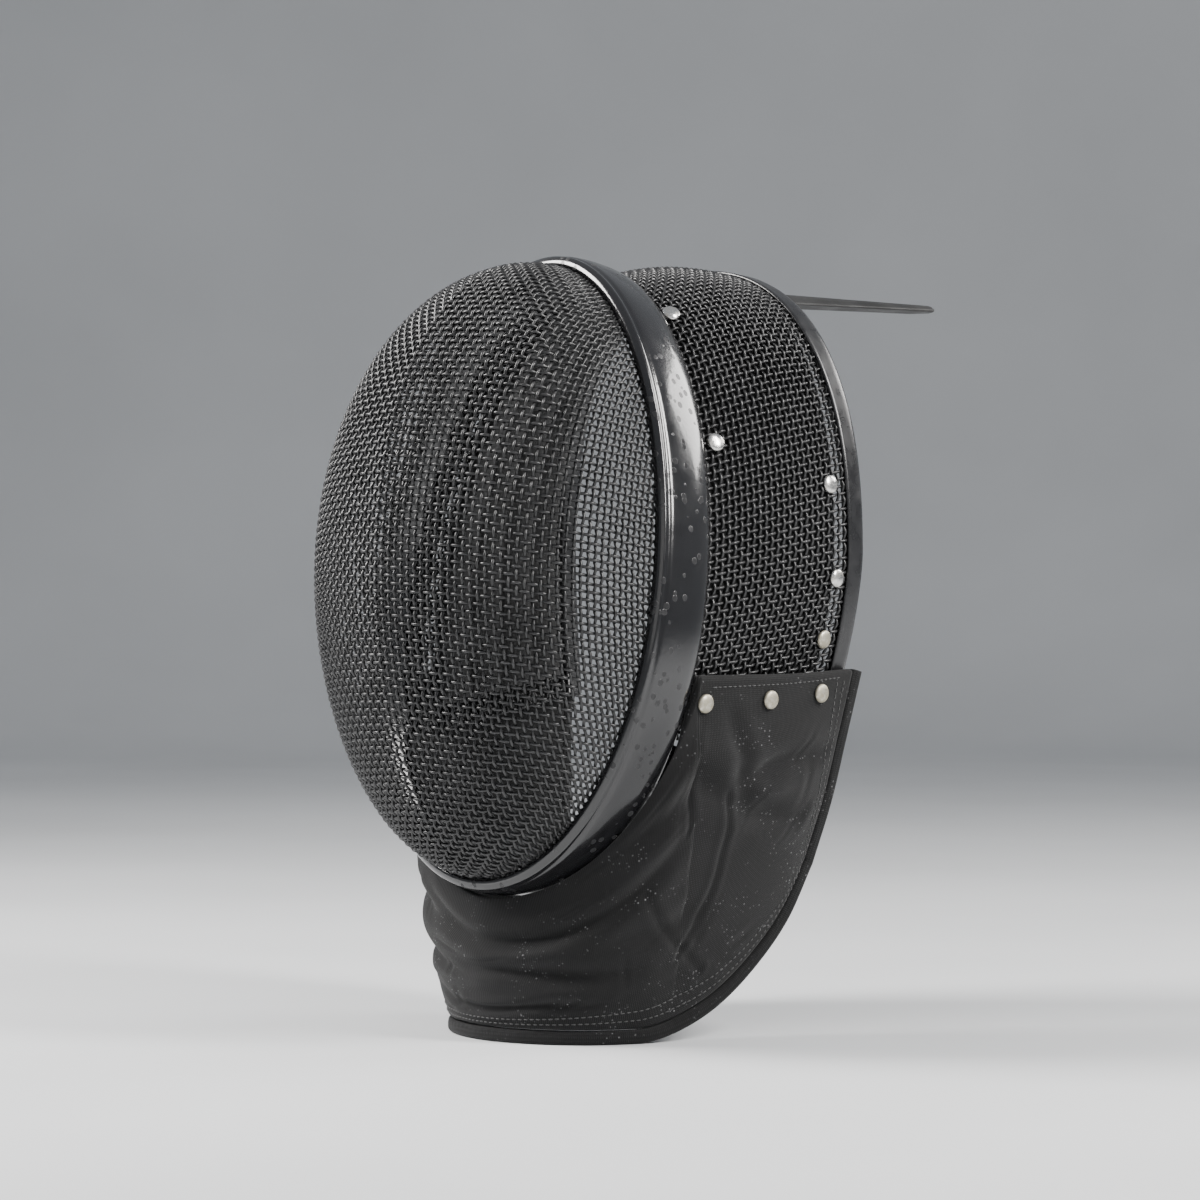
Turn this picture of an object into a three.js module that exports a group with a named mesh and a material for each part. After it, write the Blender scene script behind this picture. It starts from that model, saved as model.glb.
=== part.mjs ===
// Fencing mask: two pressed wire meshes joined by a wide band, with a spring tongue, a padded
// lining and a padded cloth bib that it stands on.
//
// Millimetres, +Z up.  The mask faces -Y, its own left side is +X, and the floor is z = 0.
// The model is built about the middle of the band's front lip and then slid along Y, so that the
// origin ends under the middle of the whole mask.

import * as THREE from 'three';
import { mergeVertices } from 'three/addons/utils/BufferGeometryUtils.js';

// ---------------------------------------------------------------- driving dimensions

const GAP = 0.3; // left between pieces that touch

// The rim is an egg-shaped oval in a plane that leans back from the chin to the brow.
const RIM = {
  halfWidth: 99,
  halfHeight: 157,
  widening: 0.09, // how much wider the oval is towards the chin
  centreZ: 236.5,
  lean: THREE.MathUtils.degToRad(9.2),
};

const BAND = {
  width: 36,
  proud: 7,
  lip: 1.2, // how high its rounded face begins
  roundness: 2.6, // exponent of its section, 2 for a plain oval
};

const FACE = {
  depth: 94,
  fuller: 0.17, // how much deeper the brow is than the chin
  squareness: 3.2, // exponent of the level section at mid height
  squarer: 0.9, // how much that exponent grows towards the brow
  ridge: 0.2, // share of the depth that the sides lose at once, which makes the ridge
  wall: 2,
  tuck: 17, // how far the mesh runs back under the band
};

const CROWN = {
  wall: 1.5,
  start: 19, // where the hood begins, behind the band's front lip
  clear: 1.5, // how far past the band it runs straight before it spreads
  tucked: 0.125, // share of the way back that stays under the band
  rearY: 145,
  sweep: 7, // how far the back edge comes forward at its foot
  halfWidth: 105.5,
  halfHeight: 147.5,
  centreZ: 245,
  roundness: 2.35, // exponent of the back edge's arch, 2 for a plain oval
  narrowing: 12, // how far the back edge's feet turn in
  sideBulge: 2.5,
  topBulge: 6.5,
  reach: THREE.MathUtils.degToRad(121), // from the top down to each foot
};

const CHANNEL = {
  width: 12,
  leg: 1.6,
  base: 2.4,
  spring: 0.3, // how much the legs swell near the bend
};

const PAD = {
  thickness: 8,
  clear: 0.6,
  front: 0.13,
  back: 0.88,
  notch: 0.2, // cut back at the top, where the tongue is fixed
  notchAngle: THREE.MathUtils.degToRad(15),
  reach: THREE.MathUtils.degToRad(116),
};

const TONGUE = {
  rootY: 122,
  tipY: 327,
  rootTop: 387,
  tipTop: 388.5,
  rootWidth: 32,
  tipWidth: 19,
  rootThickness: 5,
  tipThickness: 4.4,
  rootArch: 5.5,
  tipArch: 1.2,
  roundedEnd: 9,
  bluntness: 0.3, // width left at the very tip, as a share
  edge: 0.35, // thickness left along its edges, as a share
};

const BIB = {
  wall: 6,
  sideShare: 0.46, // share of each half's columns that lie in front of the straight top edge
  sidewaysFrom: 0.55, // share of half the hem past which the cloth faces straight sideways
  climbAngle: THREE.MathUtils.degToRad(70), // how far the top line follows the rim from the chin
  chinAhead: -10, // where the top line starts under the band, from the band's front lip
  tuckedAhead: -29, // where it starts to tuck behind the band
  sideAhead: -37.5,
  underBand: 7.5,
  bulge: 4.5,
  edgeReach: 6, // how sharply the back edge's curve fades out into the cloth
  climbCurve: 0.9, // exponents that space the top line's climb and its way back
  aheadCurve: 0.8,
};

const BORDER = { height: 7, proud: 0.7, corner: 1.6 };

const RIVET = { radius: 4.8, height: 2.4, edge: 0.8, standOff: 0.35 };

// ---------------------------------------------------------------- short tables

// Half of the bib's lower outline, from the middle of the front to the foot of the back edge.
const HEM = [
  { x: 0, y: -18, z: 0 },
  { x: 27, y: -12.5, z: 0 },
  { x: 50, y: 3, z: 0 },
  { x: 64, y: 26, z: 0 },
  { x: 70, y: 46, z: 4 },
  { x: 76, y: 69, z: 15 },
  { x: 81.5, y: 91, z: 33 },
  { x: 87, y: 111, z: 57 },
  { x: 92, y: 125, z: 86 },
];

// The bib's back edge, from the end of the hem up to its top corner.
const BACK_EDGE = [
  { x: 92, y: 125, z: 86 },
  { x: 98, y: 133, z: 118 },
  { x: 103, y: 138, z: 148 },
  { x: 106, y: 143, z: 172 },
  { x: 107, y: 146, z: 184 },
];

// The bib's straight top edge, from behind the band to the back corner.
const TOP_EDGE = [
  { x: 103.8, y: 29, z: 184 },
  { x: 106.6, y: 58, z: 184 },
  { x: 107.6, y: 98, z: 184 },
  { x: 107, y: 138.7, z: 185.5 },
];

// The bib's main folds.  along is -1 to 1 from the right back edge, round the front, to the left
// one; down is 0 at the top and 1 at the hem.  A fold runs from one place to the other.
const FOLDS = [
  { fromAlong: 0.52, fromDown: 0.3, toAlong: 0.9, toDown: 0.36, depth: 3.2, width: 0.055 },
  { fromAlong: 0.42, fromDown: 0.26, toAlong: 0.84, toDown: 0.6, depth: 2.6, width: 0.055 },
  { fromAlong: 0.22, fromDown: 0.12, toAlong: 0.5, toDown: 0.4, depth: 2.4, width: 0.07 },
  { fromAlong: -0.1, fromDown: 0.26, toAlong: 0.4, toDown: 0.42, depth: 3.4, width: 0.09 },
  { fromAlong: 0.02, fromDown: 0.56, toAlong: 0.28, toDown: 0.74, depth: 2.4, width: 0.07 },
  { fromAlong: -0.9, fromDown: 0.34, toAlong: -0.5, toDown: 0.3, depth: 3.0, width: 0.055 },
  { fromAlong: -0.46, fromDown: 0.52, toAlong: -0.12, toDown: 0.3, depth: 3.2, width: 0.08 },
];

// Rivets on one side of the hood: angle down from the top, and share of the way back.
const CROWN_RIVETS = [
  { name: 'brow', angle: 30.5, back: 0.195 },
  { name: 'temple', angle: 64.5, back: 0.2 },
  { name: 'rear_upper', angle: 78, back: 0.82 },
  { name: 'rear_middle', angle: 94, back: 0.86 },
  { name: 'rear_lower', angle: 106, back: 0.84 },
];

// Rivets along one side of the bib's top edge: place along and place down, as in FOLDS.
const BIB_RIVETS = [
  { name: 'bib_front', along: 0.475, down: 0.08 },
  { name: 'bib_middle', along: 0.69, down: 0.085 },
  { name: 'bib_rear', along: 0.88, down: 0.09 },
];

// ---------------------------------------------------------------- materials

function finish(color, roughness, metalness) {
  return new THREE.MeshStandardMaterial({ color, roughness, metalness });
}

const paintedWire = () => finish(0x17181a, 0.45, 0.6);
const glossyBand = () => finish(0x0c0c0e, 0.18, 0.0);
const coveredSteel = () => finish(0x121214, 0.4, 0.0);
const blackCloth = () => finish(0x141416, 0.9, 0.0);
const borderCloth = () => finish(0x101012, 0.85, 0.0);
const liningCloth = () => finish(0x1b1b1e, 0.95, 0.0);
const rivetMetal = () => finish(0xb9b6a8, 0.35, 1.0);

// ---------------------------------------------------------------- skins

// A closed body from rings of points.  Each ring is a closed loop whose first half runs out and
// whose second half runs back beside it, so an end is closed by joining each point to its partner.
function skin(rings, closed = false) {
  const size = rings[0].length;
  const rows = rings.length;
  const triangles = [];
  const at = (row, column) => (row % rows) * size + (column % size);
  for (let row = 0; row < (closed ? rows : rows - 1); row += 1) {
    for (let column = 0; column < size; column += 1) {
      const corners = [
        at(row, column),
        at(row + 1, column),
        at(row + 1, column + 1),
        at(row, column + 1),
      ];
      triangles.push([corners[0], corners[1], corners[2]], [corners[0], corners[2], corners[3]]);
    }
  }
  if (!closed) {
    for (let column = 0; column < size / 2 - 1; column += 1) {
      const partner = size - 1 - column;
      for (const row of [0, rows - 1]) {
        const cap = [
          [at(row, column), at(row, column + 1), at(row, partner)],
          [at(row, column + 1), at(row, partner - 1), at(row, partner)],
        ];
        triangles.push(...(row === 0 ? cap : cap.map((corners) => corners.reverse())));
      }
    }
  }
  return solidFrom(rings.flat(), triangles);
}

// Merges coinciding points, drops triangles without area and turns every face outwards.
function solidFrom(points, triangles) {
  const soup = new THREE.BufferGeometry();
  soup.setAttribute('position', new THREE.Float32BufferAttribute(points.flatMap((p) => [...p]), 3));
  soup.setIndex(triangles.flat());
  const merged = mergeVertices(soup, 1e-3);
  const position = merged.getAttribute('position');
  const [a, b, c] = [new THREE.Vector3(), new THREE.Vector3(), new THREE.Vector3()];
  const kept = [];
  let volume = 0;
  for (let i = 0; i < merged.index.count; i += 3) {
    const corners = [merged.index.getX(i), merged.index.getX(i + 1), merged.index.getX(i + 2)];
    if (new Set(corners).size < 3) continue;
    [a, b, c].forEach((corner, k) => corner.fromBufferAttribute(position, corners[k]));
    volume += a.dot(b.cross(c));
    kept.push(corners);
  }
  merged.setIndex((volume < 0 ? kept.map((corners) => corners.reverse()) : kept).flat());
  merged.computeVertexNormals();
  return merged;
}

// A ring for a thin wall: down its outer face and back up its inner one.
function wallRing(steps, outer, inner) {
  const shares = Array.from({ length: steps + 1 }, (_, i) => i / steps);
  return [...shares.map(outer), ...shares.reverse().map(inner)];
}

function range(steps, from, to) {
  return Array.from({ length: steps + 1 }, (_, i) => from + ((to - from) * i) / steps);
}

function smooth(from, to, value) {
  return THREE.MathUtils.smoothstep(value, from, to);
}

// ---------------------------------------------------------------- rim and band

const RIM_UP = new THREE.Vector3(0, Math.sin(RIM.lean), Math.cos(RIM.lean));
const RIM_AHEAD = new THREE.Vector3(0, -Math.cos(RIM.lean), Math.sin(RIM.lean));
const RIM_CENTRE = new THREE.Vector3(0, 0, RIM.centreZ);

// From the rim's own across, up and ahead to a place in the model.
function rimPlace(across, up, ahead) {
  return RIM_CENTRE.clone()
    .add(new THREE.Vector3(across, 0, 0))
    .addScaledVector(RIM_UP, up)
    .addScaledVector(RIM_AHEAD, ahead);
}

// A point on the oval at an angle from its top, pushed out of it and ahead of its plane.
function rimPoint(angle, ahead, out) {
  const [sin, cos] = [Math.sin(angle), Math.cos(angle)];
  const width = RIM.halfWidth * (1 - RIM.widening * cos);
  const alongAcross = width * cos + RIM.halfWidth * RIM.widening * sin * sin;
  const alongUp = -RIM.halfHeight * sin;
  const length = Math.hypot(alongAcross, alongUp);
  return rimPlace(
    width * sin - (out * alongUp) / length,
    RIM.halfHeight * cos + (out * alongAcross) / length,
    ahead,
  );
}

// The band's section is a flat back with a rounded front: half of a wide, low oval.
function rimBand() {
  const outline = range(9, 0, Math.PI).map((angle) => {
    const [along, rise] = [Math.cos(angle), Math.sin(angle)];
    return {
      ahead: (BAND.width / 2) * (Math.sign(along) * Math.abs(along) ** (2 / BAND.roundness) - 1),
      out: GAP + BAND.lip + (BAND.proud - BAND.lip - GAP) * rise ** (2 / BAND.roundness),
    };
  });
  const section = [
    { ahead: 0, out: GAP },
    ...outline,
    { ahead: -BAND.width, out: GAP },
  ];
  const rings = range(56, 0, 2 * Math.PI).slice(0, -1);
  return skin(rings.map((angle) => section.map(({ ahead, out }) => rimPoint(angle, ahead, out))), true);
}

// ---------------------------------------------------------------- front mesh

// A point of the dome.  turn is the angle round the oval from its top, and rise goes from 0 at the
// rim to a right angle at the pole.  Level sections are rounded squares that meet in a ridge.
function facePoint(turn, rise, inset) {
  const [level, lift] = [Math.abs(Math.cos(rise)), Math.abs(Math.sin(rise))];
  const round = FACE.squareness;
  const spread = level / (level ** round + lift ** round) ** (1 / round);
  const across = spread * Math.sin(turn);
  const up = spread * Math.cos(turn);
  const n = FACE.squareness + FACE.squarer * up;
  const rowWidth = Math.sqrt(Math.max(1 - up * up, 0));
  const share = rowWidth > 1e-6 ? Math.min(Math.abs(across) / rowWidth, 1) : 0;
  const section = (1 - FACE.ridge * share) * (1 - share ** n) ** (1 / n);
  return rimPlace(
    (RIM.halfWidth - inset) * (1 - RIM.widening * up) * across,
    (RIM.halfHeight - inset) * up,
    (FACE.depth - inset) * (1 + FACE.fuller * up) * rowWidth * section,
  );
}

// The dome's profile from its pole to the end of the tucked edge, for one turn and one inset.
function faceProfile(turn, inset) {
  const dome = range(13, Math.PI / 2, 0).map((rise) => facePoint(turn, rise, inset));
  return [...dome, rimPoint(turn, -FACE.tuck, -inset)];
}

function faceMesh() {
  const turns = range(44, 0, 2 * Math.PI).slice(0, -1);
  return skin(
    turns.map((turn) => [...faceProfile(turn, 0), ...faceProfile(turn, FACE.wall).reverse()]),
    true,
  );
}

// ---------------------------------------------------------------- hood

// A point of the hood: angle from its top, and back from 0 at the band to 1 at the back edge.
function crownPoint(angle, back, inset) {
  const clearOfBand = -BAND.width - CROWN.clear;
  if (back < CROWN.tucked) {
    const ahead = THREE.MathUtils.mapLinear(back, 0, CROWN.tucked, -CROWN.start, clearOfBand);
    return rimPoint(angle, ahead, -inset - GAP);
  }
  const share = (back - CROWN.tucked) / (1 - CROWN.tucked);
  const front = rimPoint(angle, clearOfBand, -inset - GAP);
  const below = Math.max(-Math.cos(angle), 0) / Math.abs(Math.cos(CROWN.reach));
  const soften = (value) => Math.sign(value) * Math.abs(value) ** (2 / CROWN.roundness);
  const upper = Math.abs(angle) < Math.PI / 2;
  const side = upper ? soften(Math.sin(angle)) : Math.sign(angle);
  const height = upper ? soften(Math.cos(angle)) : Math.cos(angle);
  const rear = new THREE.Vector3(
    side * (CROWN.halfWidth - inset - CROWN.narrowing * below ** 1.5),
    CROWN.rearY - CROWN.sweep * below ** 1.5,
    CROWN.centreZ + (CROWN.halfHeight - inset) * height,
  );
  const fullest = THREE.MathUtils.lerp(CROWN.sideBulge, CROWN.topBulge, Math.max(Math.cos(angle), 0));
  const swell = fullest * Math.sin(Math.PI * share) * (1 - 0.6 * below);
  const outward = new THREE.Vector3(Math.sin(angle), 0, Math.cos(angle));
  return front.lerp(rear, share).addScaledVector(outward, swell);
}

function crownMesh() {
  const angles = range(40, -CROWN.reach, CROWN.reach);
  return skin(
    angles.map((angle) =>
      wallRing(
        9,
        (back) => crownPoint(angle, back, 0),
        (back) => crownPoint(angle, back, CROWN.wall),
      ),
    ),
  );
}

// The unit vector across the hood's wall, pointing out, and the one straight off its back edge.
function crownEdgeFrame(angle) {
  const step = 0.01;
  const here = crownPoint(angle, 1, 0);
  const off = here.clone().sub(crownPoint(angle, 0.94, 0)).normalize();
  const run = crownPoint(angle + step, 1, 0).sub(crownPoint(angle - step, 1, 0)).normalize();
  const out = new THREE.Vector3().crossVectors(run, off).normalize();
  return { here, off, out };
}

// A channel bent round the hood's back edge, with one leg outside and one inside.
function rearEdgeBinding() {
  const inner = CROWN.wall + GAP;
  const foot = CHANNEL.base - CHANNEL.width;
  const [round, thin] = [CHANNEL.base * 0.7, CHANNEL.leg * 0.75];
  const middle = -CROWN.wall / 2;
  const wrap = [
    { off: foot, out: GAP + CHANNEL.leg, slotOff: foot, slotOut: GAP },
    { off: -1, out: GAP + CHANNEL.leg + CHANNEL.spring, slotOff: -1, slotOut: GAP },
    { off: round, out: thin, slotOff: GAP, slotOut: GAP },
    { off: CHANNEL.base, out: middle, slotOff: GAP, slotOut: middle },
    { off: round, out: -CROWN.wall - thin, slotOff: GAP, slotOut: -inner },
    { off: -1, out: -inner - CHANNEL.leg - CHANNEL.spring, slotOff: -1, slotOut: -inner },
    { off: foot, out: -inner - CHANNEL.leg, slotOff: foot, slotOut: -inner },
  ];
  const angles = range(40, -CROWN.reach, CROWN.reach);
  return skin(
    angles.map((angle) => {
      const { here, off, out } = crownEdgeFrame(angle);
      const place = (a, b) => here.clone().addScaledVector(off, a).addScaledVector(out, b);
      return [
        ...wrap.map((point) => place(point.off, point.out)),
        ...wrap.map((point) => place(point.slotOff, point.slotOut)).reverse(),
      ];
    }),
  );
}

function innerPad() {
  const outside = CROWN.wall + PAD.clear;
  const angles = range(28, -PAD.reach, PAD.reach);
  return skin(
    angles.map((angle) => {
      const cut = PAD.notch * Math.exp(-((angle / PAD.notchAngle) ** 4));
      const back = (share) => PAD.front + (PAD.back - cut - PAD.front) * share;
      return wallRing(
        6,
        (share) => crownPoint(angle, back(share), outside),
        (share) => crownPoint(angle, back(share), outside + PAD.thickness),
      );
    }),
  );
}

// ---------------------------------------------------------------- tongue

function tongue() {
  const length = TONGUE.tipY - TONGUE.rootY;
  const nosePart = TONGUE.roundedEnd / length;
  const stations = [
    ...range(9, 0, 1 - nosePart),
    ...range(4, 0, Math.PI / 2).slice(1).map((angle) => 1 - nosePart * (1 - Math.sin(angle))),
  ];
  const mix = THREE.MathUtils.lerp;
  return skin(
    stations.map((share) => {
      const y = TONGUE.rootY + length * share;
      const fromTip = TONGUE.tipY - y;
      const nose = Math.min(fromTip / TONGUE.roundedEnd, 1);
      const rounding = Math.max(Math.sqrt(1 - (1 - nose) ** 2), TONGUE.bluntness);
      const half = (mix(TONGUE.rootWidth, TONGUE.tipWidth, share) / 2) * rounding;
      const top = mix(TONGUE.rootTop, TONGUE.tipTop, share);
      const arch = mix(TONGUE.rootArch, TONGUE.tipArch, share);
      const thick = mix(TONGUE.rootThickness, TONGUE.tipThickness, share);
      const level = (across) => top - arch * across * across * rounding;
      const edge = (across) => thick * (TONGUE.edge + (1 - TONGUE.edge) * Math.sqrt(1 - across ** 4));
      const middle = (across) => level(across) - thick / 2;
      const point = (across, side) =>
        new THREE.Vector3(half * across, y, middle(across) - (side * edge(across)) / 2);
      return wallRing(
        6,
        (s) => point(2 * s - 1, -1),
        (s) => point(2 * s - 1, 1),
      );
    }),
  );
}

// ---------------------------------------------------------------- bib

function curveThrough(rows) {
  const points = rows.map(({ x, y, z }) => new THREE.Vector3(x, y, z));
  return new THREE.CatmullRomCurve3(points, false, 'centripetal');
}

const hemCurve = curveThrough(HEM);
const backEdgeCurve = curveThrough(BACK_EDGE);
const topEdgeCurve = curveThrough(TOP_EDGE);

// The level unit vector that points straight out of the bib, at a share of one half's hem.
function bibOutward(share) {
  const facing = (Math.PI / 2) * Math.min(share / BIB.sidewaysFrom, 1);
  return new THREE.Vector3(Math.sin(facing), -Math.cos(facing), 0);
}

// Where the border's outer edge runs at a share of the hem, or of the back edge, with the way out
// of the cloth and the way up into it.
function borderFrame(curve, share) {
  const here = curve.getPointAt(share);
  const run = curve.getTangentAt(share);
  const out = bibOutward(curve === hemCurve ? share : 1);
  const into = new THREE.Vector3().crossVectors(out, run).normalize();
  here.z = Math.max(here.z, 0);
  return { here, out, into };
}

// The same edge drawn in by the border's height, where the cloth itself ends.
function clothEdge(curve, share, depth) {
  const { here, out, into } = borderFrame(curve, share);
  return here.addScaledVector(into, BORDER.height + GAP).addScaledVector(out, -depth * BIB.wall);
}

// The top line of one half of the bib: under the band from the chin up, then straight back.
// depth is 0 on the outer face and 1 on the inner one.
function bibTop(share, depth) {
  if (share >= BIB.sideShare) {
    const along = (share - BIB.sideShare) / (1 - BIB.sideShare);
    return topEdgeCurve.getPoint(along).addScaledVector(bibOutward(share), -depth * BIB.wall);
  }
  const climb = share / BIB.sideShare;
  const angle = Math.PI - BIB.climbAngle * climb ** BIB.climbCurve;
  const ahead = BIB.chinAhead + (BIB.sideAhead - BIB.chinAhead) * climb ** BIB.aheadCurve;
  const behind = 1 - smooth(BIB.sideAhead, BIB.tuckedAhead, ahead);
  const back = depth * (BIB.wall + 1) * (1 - behind);
  return rimPoint(angle, ahead - back, BIB.underBand - depth * BIB.wall * behind);
}

// Each fold is a groove along a straight line on the (along, down) map.
function foldDepth(along, down) {
  let total = 0;
  for (const fold of FOLDS) {
    const runAlong = fold.toAlong - fold.fromAlong;
    const runDown = fold.toDown - fold.fromDown;
    const [aheadAlong, aheadDown] = [along - fold.fromAlong, down - fold.fromDown];
    const place = (aheadAlong * runAlong + aheadDown * runDown) / (runAlong ** 2 + runDown ** 2);
    const held = THREE.MathUtils.clamp(place, 0, 1);
    const aside = Math.hypot(aheadAlong - held * runAlong, aheadDown - held * runDown);
    total += fold.depth * Math.exp(-((aside / fold.width) ** 2));
  }
  return total;
}

// A point of the bib, for along and down as in FOLDS, and depth through its wall from 0 to 1.
function bibPoint(along, down, depth) {
  const share = Math.abs(along);
  const foot = clothEdge(hemCurve, share, depth);
  const point = bibTop(share, depth).lerp(foot, down);
  const edge = clothEdge(backEdgeCurve, 1 - down, depth);
  const straightEdge = bibTop(1, depth).lerp(clothEdge(hemCurve, 1, depth), down);
  point.addScaledVector(edge.sub(straightEdge), share ** BIB.edgeReach);
  const loose = Math.sin(Math.PI * down);
  const swell = BIB.bulge * loose * (1 - share ** 8) - foldDepth(along, down) * smooth(0, 0.3, loose);
  point.addScaledVector(bibOutward(share), swell);
  return new THREE.Vector3(along < 0 ? -point.x : point.x, point.y, point.z);
}

function bib() {
  return skin(
    range(52, -1, 1).map((along) =>
      wallRing(
        13,
        (down) => bibPoint(along, down, 0),
        (down) => bibPoint(along, down, 1),
      ),
    ),
  );
}

// The turned border: a flat-footed strip with rounded corners that follows the whole free edge.
function bibBorder() {
  const [proud, back] = [BORDER.proud, -BIB.wall - BORDER.proud];
  const { corner } = BORDER;
  const section = [
    { into: BORDER.height, out: proud - corner },
    { into: BORDER.height - corner, out: proud },
    { into: corner, out: proud },
    { into: 0, out: proud - corner },
    { into: 0, out: back + corner },
    { into: corner, out: back },
    { into: BORDER.height - corner, out: back },
    { into: BORDER.height, out: back + corner },
  ];
  const half = [
    ...range(26, 0, 1).map((share) => borderFrame(hemCurve, share)),
    ...range(10, 0, 1).slice(1).map((share) => borderFrame(backEdgeCurve, share)),
  ];
  const left = half.map((frame) =>
    section.map(({ into, out }) =>
      frame.here.clone().addScaledVector(frame.into, into).addScaledVector(frame.out, out),
    ),
  );
  const right = left.slice(1).map((ring) => ring.map((p) => new THREE.Vector3(-p.x, p.y, p.z)));
  return skin([...right.reverse(), ...left]);
}

// ---------------------------------------------------------------- rivets

// A low dome with a flat back, its axis along +Z.
function rivetHead() {
  const dome = range(5, 0, Math.PI / 2).map((angle) => new THREE.Vector2(
    RIVET.radius * Math.sin(angle),
    RIVET.edge + (RIVET.height - RIVET.edge) * Math.cos(angle),
  ));
  const profile = [new THREE.Vector2(0, 0), new THREE.Vector2(RIVET.radius, 0), ...dome.reverse()];
  const lathe = new THREE.LatheGeometry(profile, 14);
  lathe.rotateX(Math.PI / 2);
  const position = lathe.getAttribute('position');
  const points = range(position.count - 1, 0, position.count - 1)
    .map((i) => new THREE.Vector3().fromBufferAttribute(position, i));
  const index = [...lathe.index.array];
  const triangles = range(index.length / 3 - 1, 0, index.length / 3 - 1)
    .map((i) => index.slice(3 * i, 3 * i + 3));
  return solidFrom(points, triangles);
}

// Turns a rivet's back to the surface around a place on it and leaves the gap beneath.
function seatRivet(mesh, surface, a, b) {
  const step = 0.02;
  const alongA = surface(a + step, b).sub(surface(a - step, b));
  const alongB = surface(a, b + step).sub(surface(a, b - step));
  const out = new THREE.Vector3().crossVectors(alongA, alongB).normalize();
  const here = surface(a, b);
  if (out.x * here.x < 0) out.negate();
  mesh.quaternion.setFromUnitVectors(new THREE.Vector3(0, 0, 1), out);
  mesh.position.copy(here).addScaledVector(out, GAP + RIVET.standOff);
  return mesh;
}

function rivets() {
  const meshes = [];
  for (const [side, sign] of [['left', 1], ['right', -1]]) {
    const hood = (angle, back) => crownPoint(sign * angle, back, 0);
    for (const { name, angle, back } of CROWN_RIVETS) {
      const mesh = piece(`rivet_${side}_${name}`, rivetHead(), rivetMetal());
      meshes.push(seatRivet(mesh, hood, THREE.MathUtils.degToRad(angle), back));
    }
    const cloth = (along, down) => bibPoint(sign * along, down, 0);
    for (const { name, along, down } of BIB_RIVETS) {
      const mesh = piece(`rivet_${side}_${name}`, rivetHead(), rivetMetal());
      meshes.push(seatRivet(mesh, cloth, along, down));
    }
  }
  return meshes;
}

// ---------------------------------------------------------------- assembly

function piece(name, geometry, material) {
  const mesh = new THREE.Mesh(geometry, material);
  mesh.name = name;
  return mesh;
}

const mask = new THREE.Group();
mask.add(
  piece('face_mesh', faceMesh(), paintedWire()),
  piece('crown_mesh', crownMesh(), paintedWire()),
  piece('rim_band', rimBand(), glossyBand()),
  piece('rear_edge_binding', rearEdgeBinding(), glossyBand()),
  piece('inner_pad', innerPad(), liningCloth()),
  piece('tongue', tongue(), coveredSteel()),
  piece('bib', bib(), blackCloth()),
  piece('bib_border', bibBorder(), borderCloth()),
  ...rivets(),
);

// The origin goes under the middle of the whole mask, between the ridge and the tongue's tip.
const box = new THREE.Box3().setFromObject(mask);
mask.position.y = -(box.min.y + box.max.y) / 2;

export default mask;
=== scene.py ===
# %% [markdown]
# # A fencing mask
#
# The mask is two pressed bowls of woven steel wire, joined by a wide glossy band, with a padded
# lining, a spring tongue behind and a quilted cloth bib that it stands on.  The measured frame of
# solids is loaded first.  Every finished piece is then a surface worked out with numpy, laid
# exactly where its plain solid is.

# %% Load the measured frame
import math

import bpy
import numpy as np
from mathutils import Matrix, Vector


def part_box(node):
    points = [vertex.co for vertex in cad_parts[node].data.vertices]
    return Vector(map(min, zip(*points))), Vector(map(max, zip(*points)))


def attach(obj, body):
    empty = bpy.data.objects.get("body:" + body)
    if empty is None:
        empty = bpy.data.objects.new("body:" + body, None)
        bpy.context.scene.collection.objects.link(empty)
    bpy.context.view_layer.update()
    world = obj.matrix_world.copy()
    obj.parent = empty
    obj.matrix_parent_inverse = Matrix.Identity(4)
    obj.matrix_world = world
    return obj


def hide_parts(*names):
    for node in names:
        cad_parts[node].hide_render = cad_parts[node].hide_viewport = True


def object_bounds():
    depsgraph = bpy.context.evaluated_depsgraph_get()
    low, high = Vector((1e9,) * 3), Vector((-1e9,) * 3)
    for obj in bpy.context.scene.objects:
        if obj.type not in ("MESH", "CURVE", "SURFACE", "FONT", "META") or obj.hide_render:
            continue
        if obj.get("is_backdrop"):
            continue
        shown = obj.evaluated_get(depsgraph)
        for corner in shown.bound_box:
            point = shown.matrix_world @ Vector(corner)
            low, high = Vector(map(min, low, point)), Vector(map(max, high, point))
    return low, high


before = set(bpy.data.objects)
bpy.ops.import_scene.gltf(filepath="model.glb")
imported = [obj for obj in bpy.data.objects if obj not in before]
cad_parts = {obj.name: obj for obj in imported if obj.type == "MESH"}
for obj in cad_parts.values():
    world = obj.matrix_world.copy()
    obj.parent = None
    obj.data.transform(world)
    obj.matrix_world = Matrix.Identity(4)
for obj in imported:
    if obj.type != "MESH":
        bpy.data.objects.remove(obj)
cad_low, cad_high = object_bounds()
MM = 0.001
size_in_mm = [round((high - low) / MM) for low, high in zip(cad_low, cad_high)]
print("the frame's size in mm:", size_in_mm)

# %% [markdown]
# ## Driving dimensions
#
# The same few sizes drive the solids and the looks.  The rim is an egg-shaped oval in a plane
# that leans back.  Places along Y are counted from the middle of the band's front lip, and the
# tongue's tip in the frame says where that lip is.

# %% The sizes that everything is worked out from
RIM_HALF_WIDTH = 99 * MM
RIM_HALF_HEIGHT = 157 * MM
RIM_WIDENING = 0.09
RIM_CENTRE_Z = 236.5 * MM
RIM_LEAN = math.radians(9.2)

BAND_WIDTH = 36 * MM
BAND_PROUD = 7 * MM

FACE_DEPTH = 94 * MM
FACE_FULLER = 0.17
FACE_SQUARENESS = 3.2
FACE_SQUARER = 0.9
FACE_RIDGE = 0.2

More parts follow.
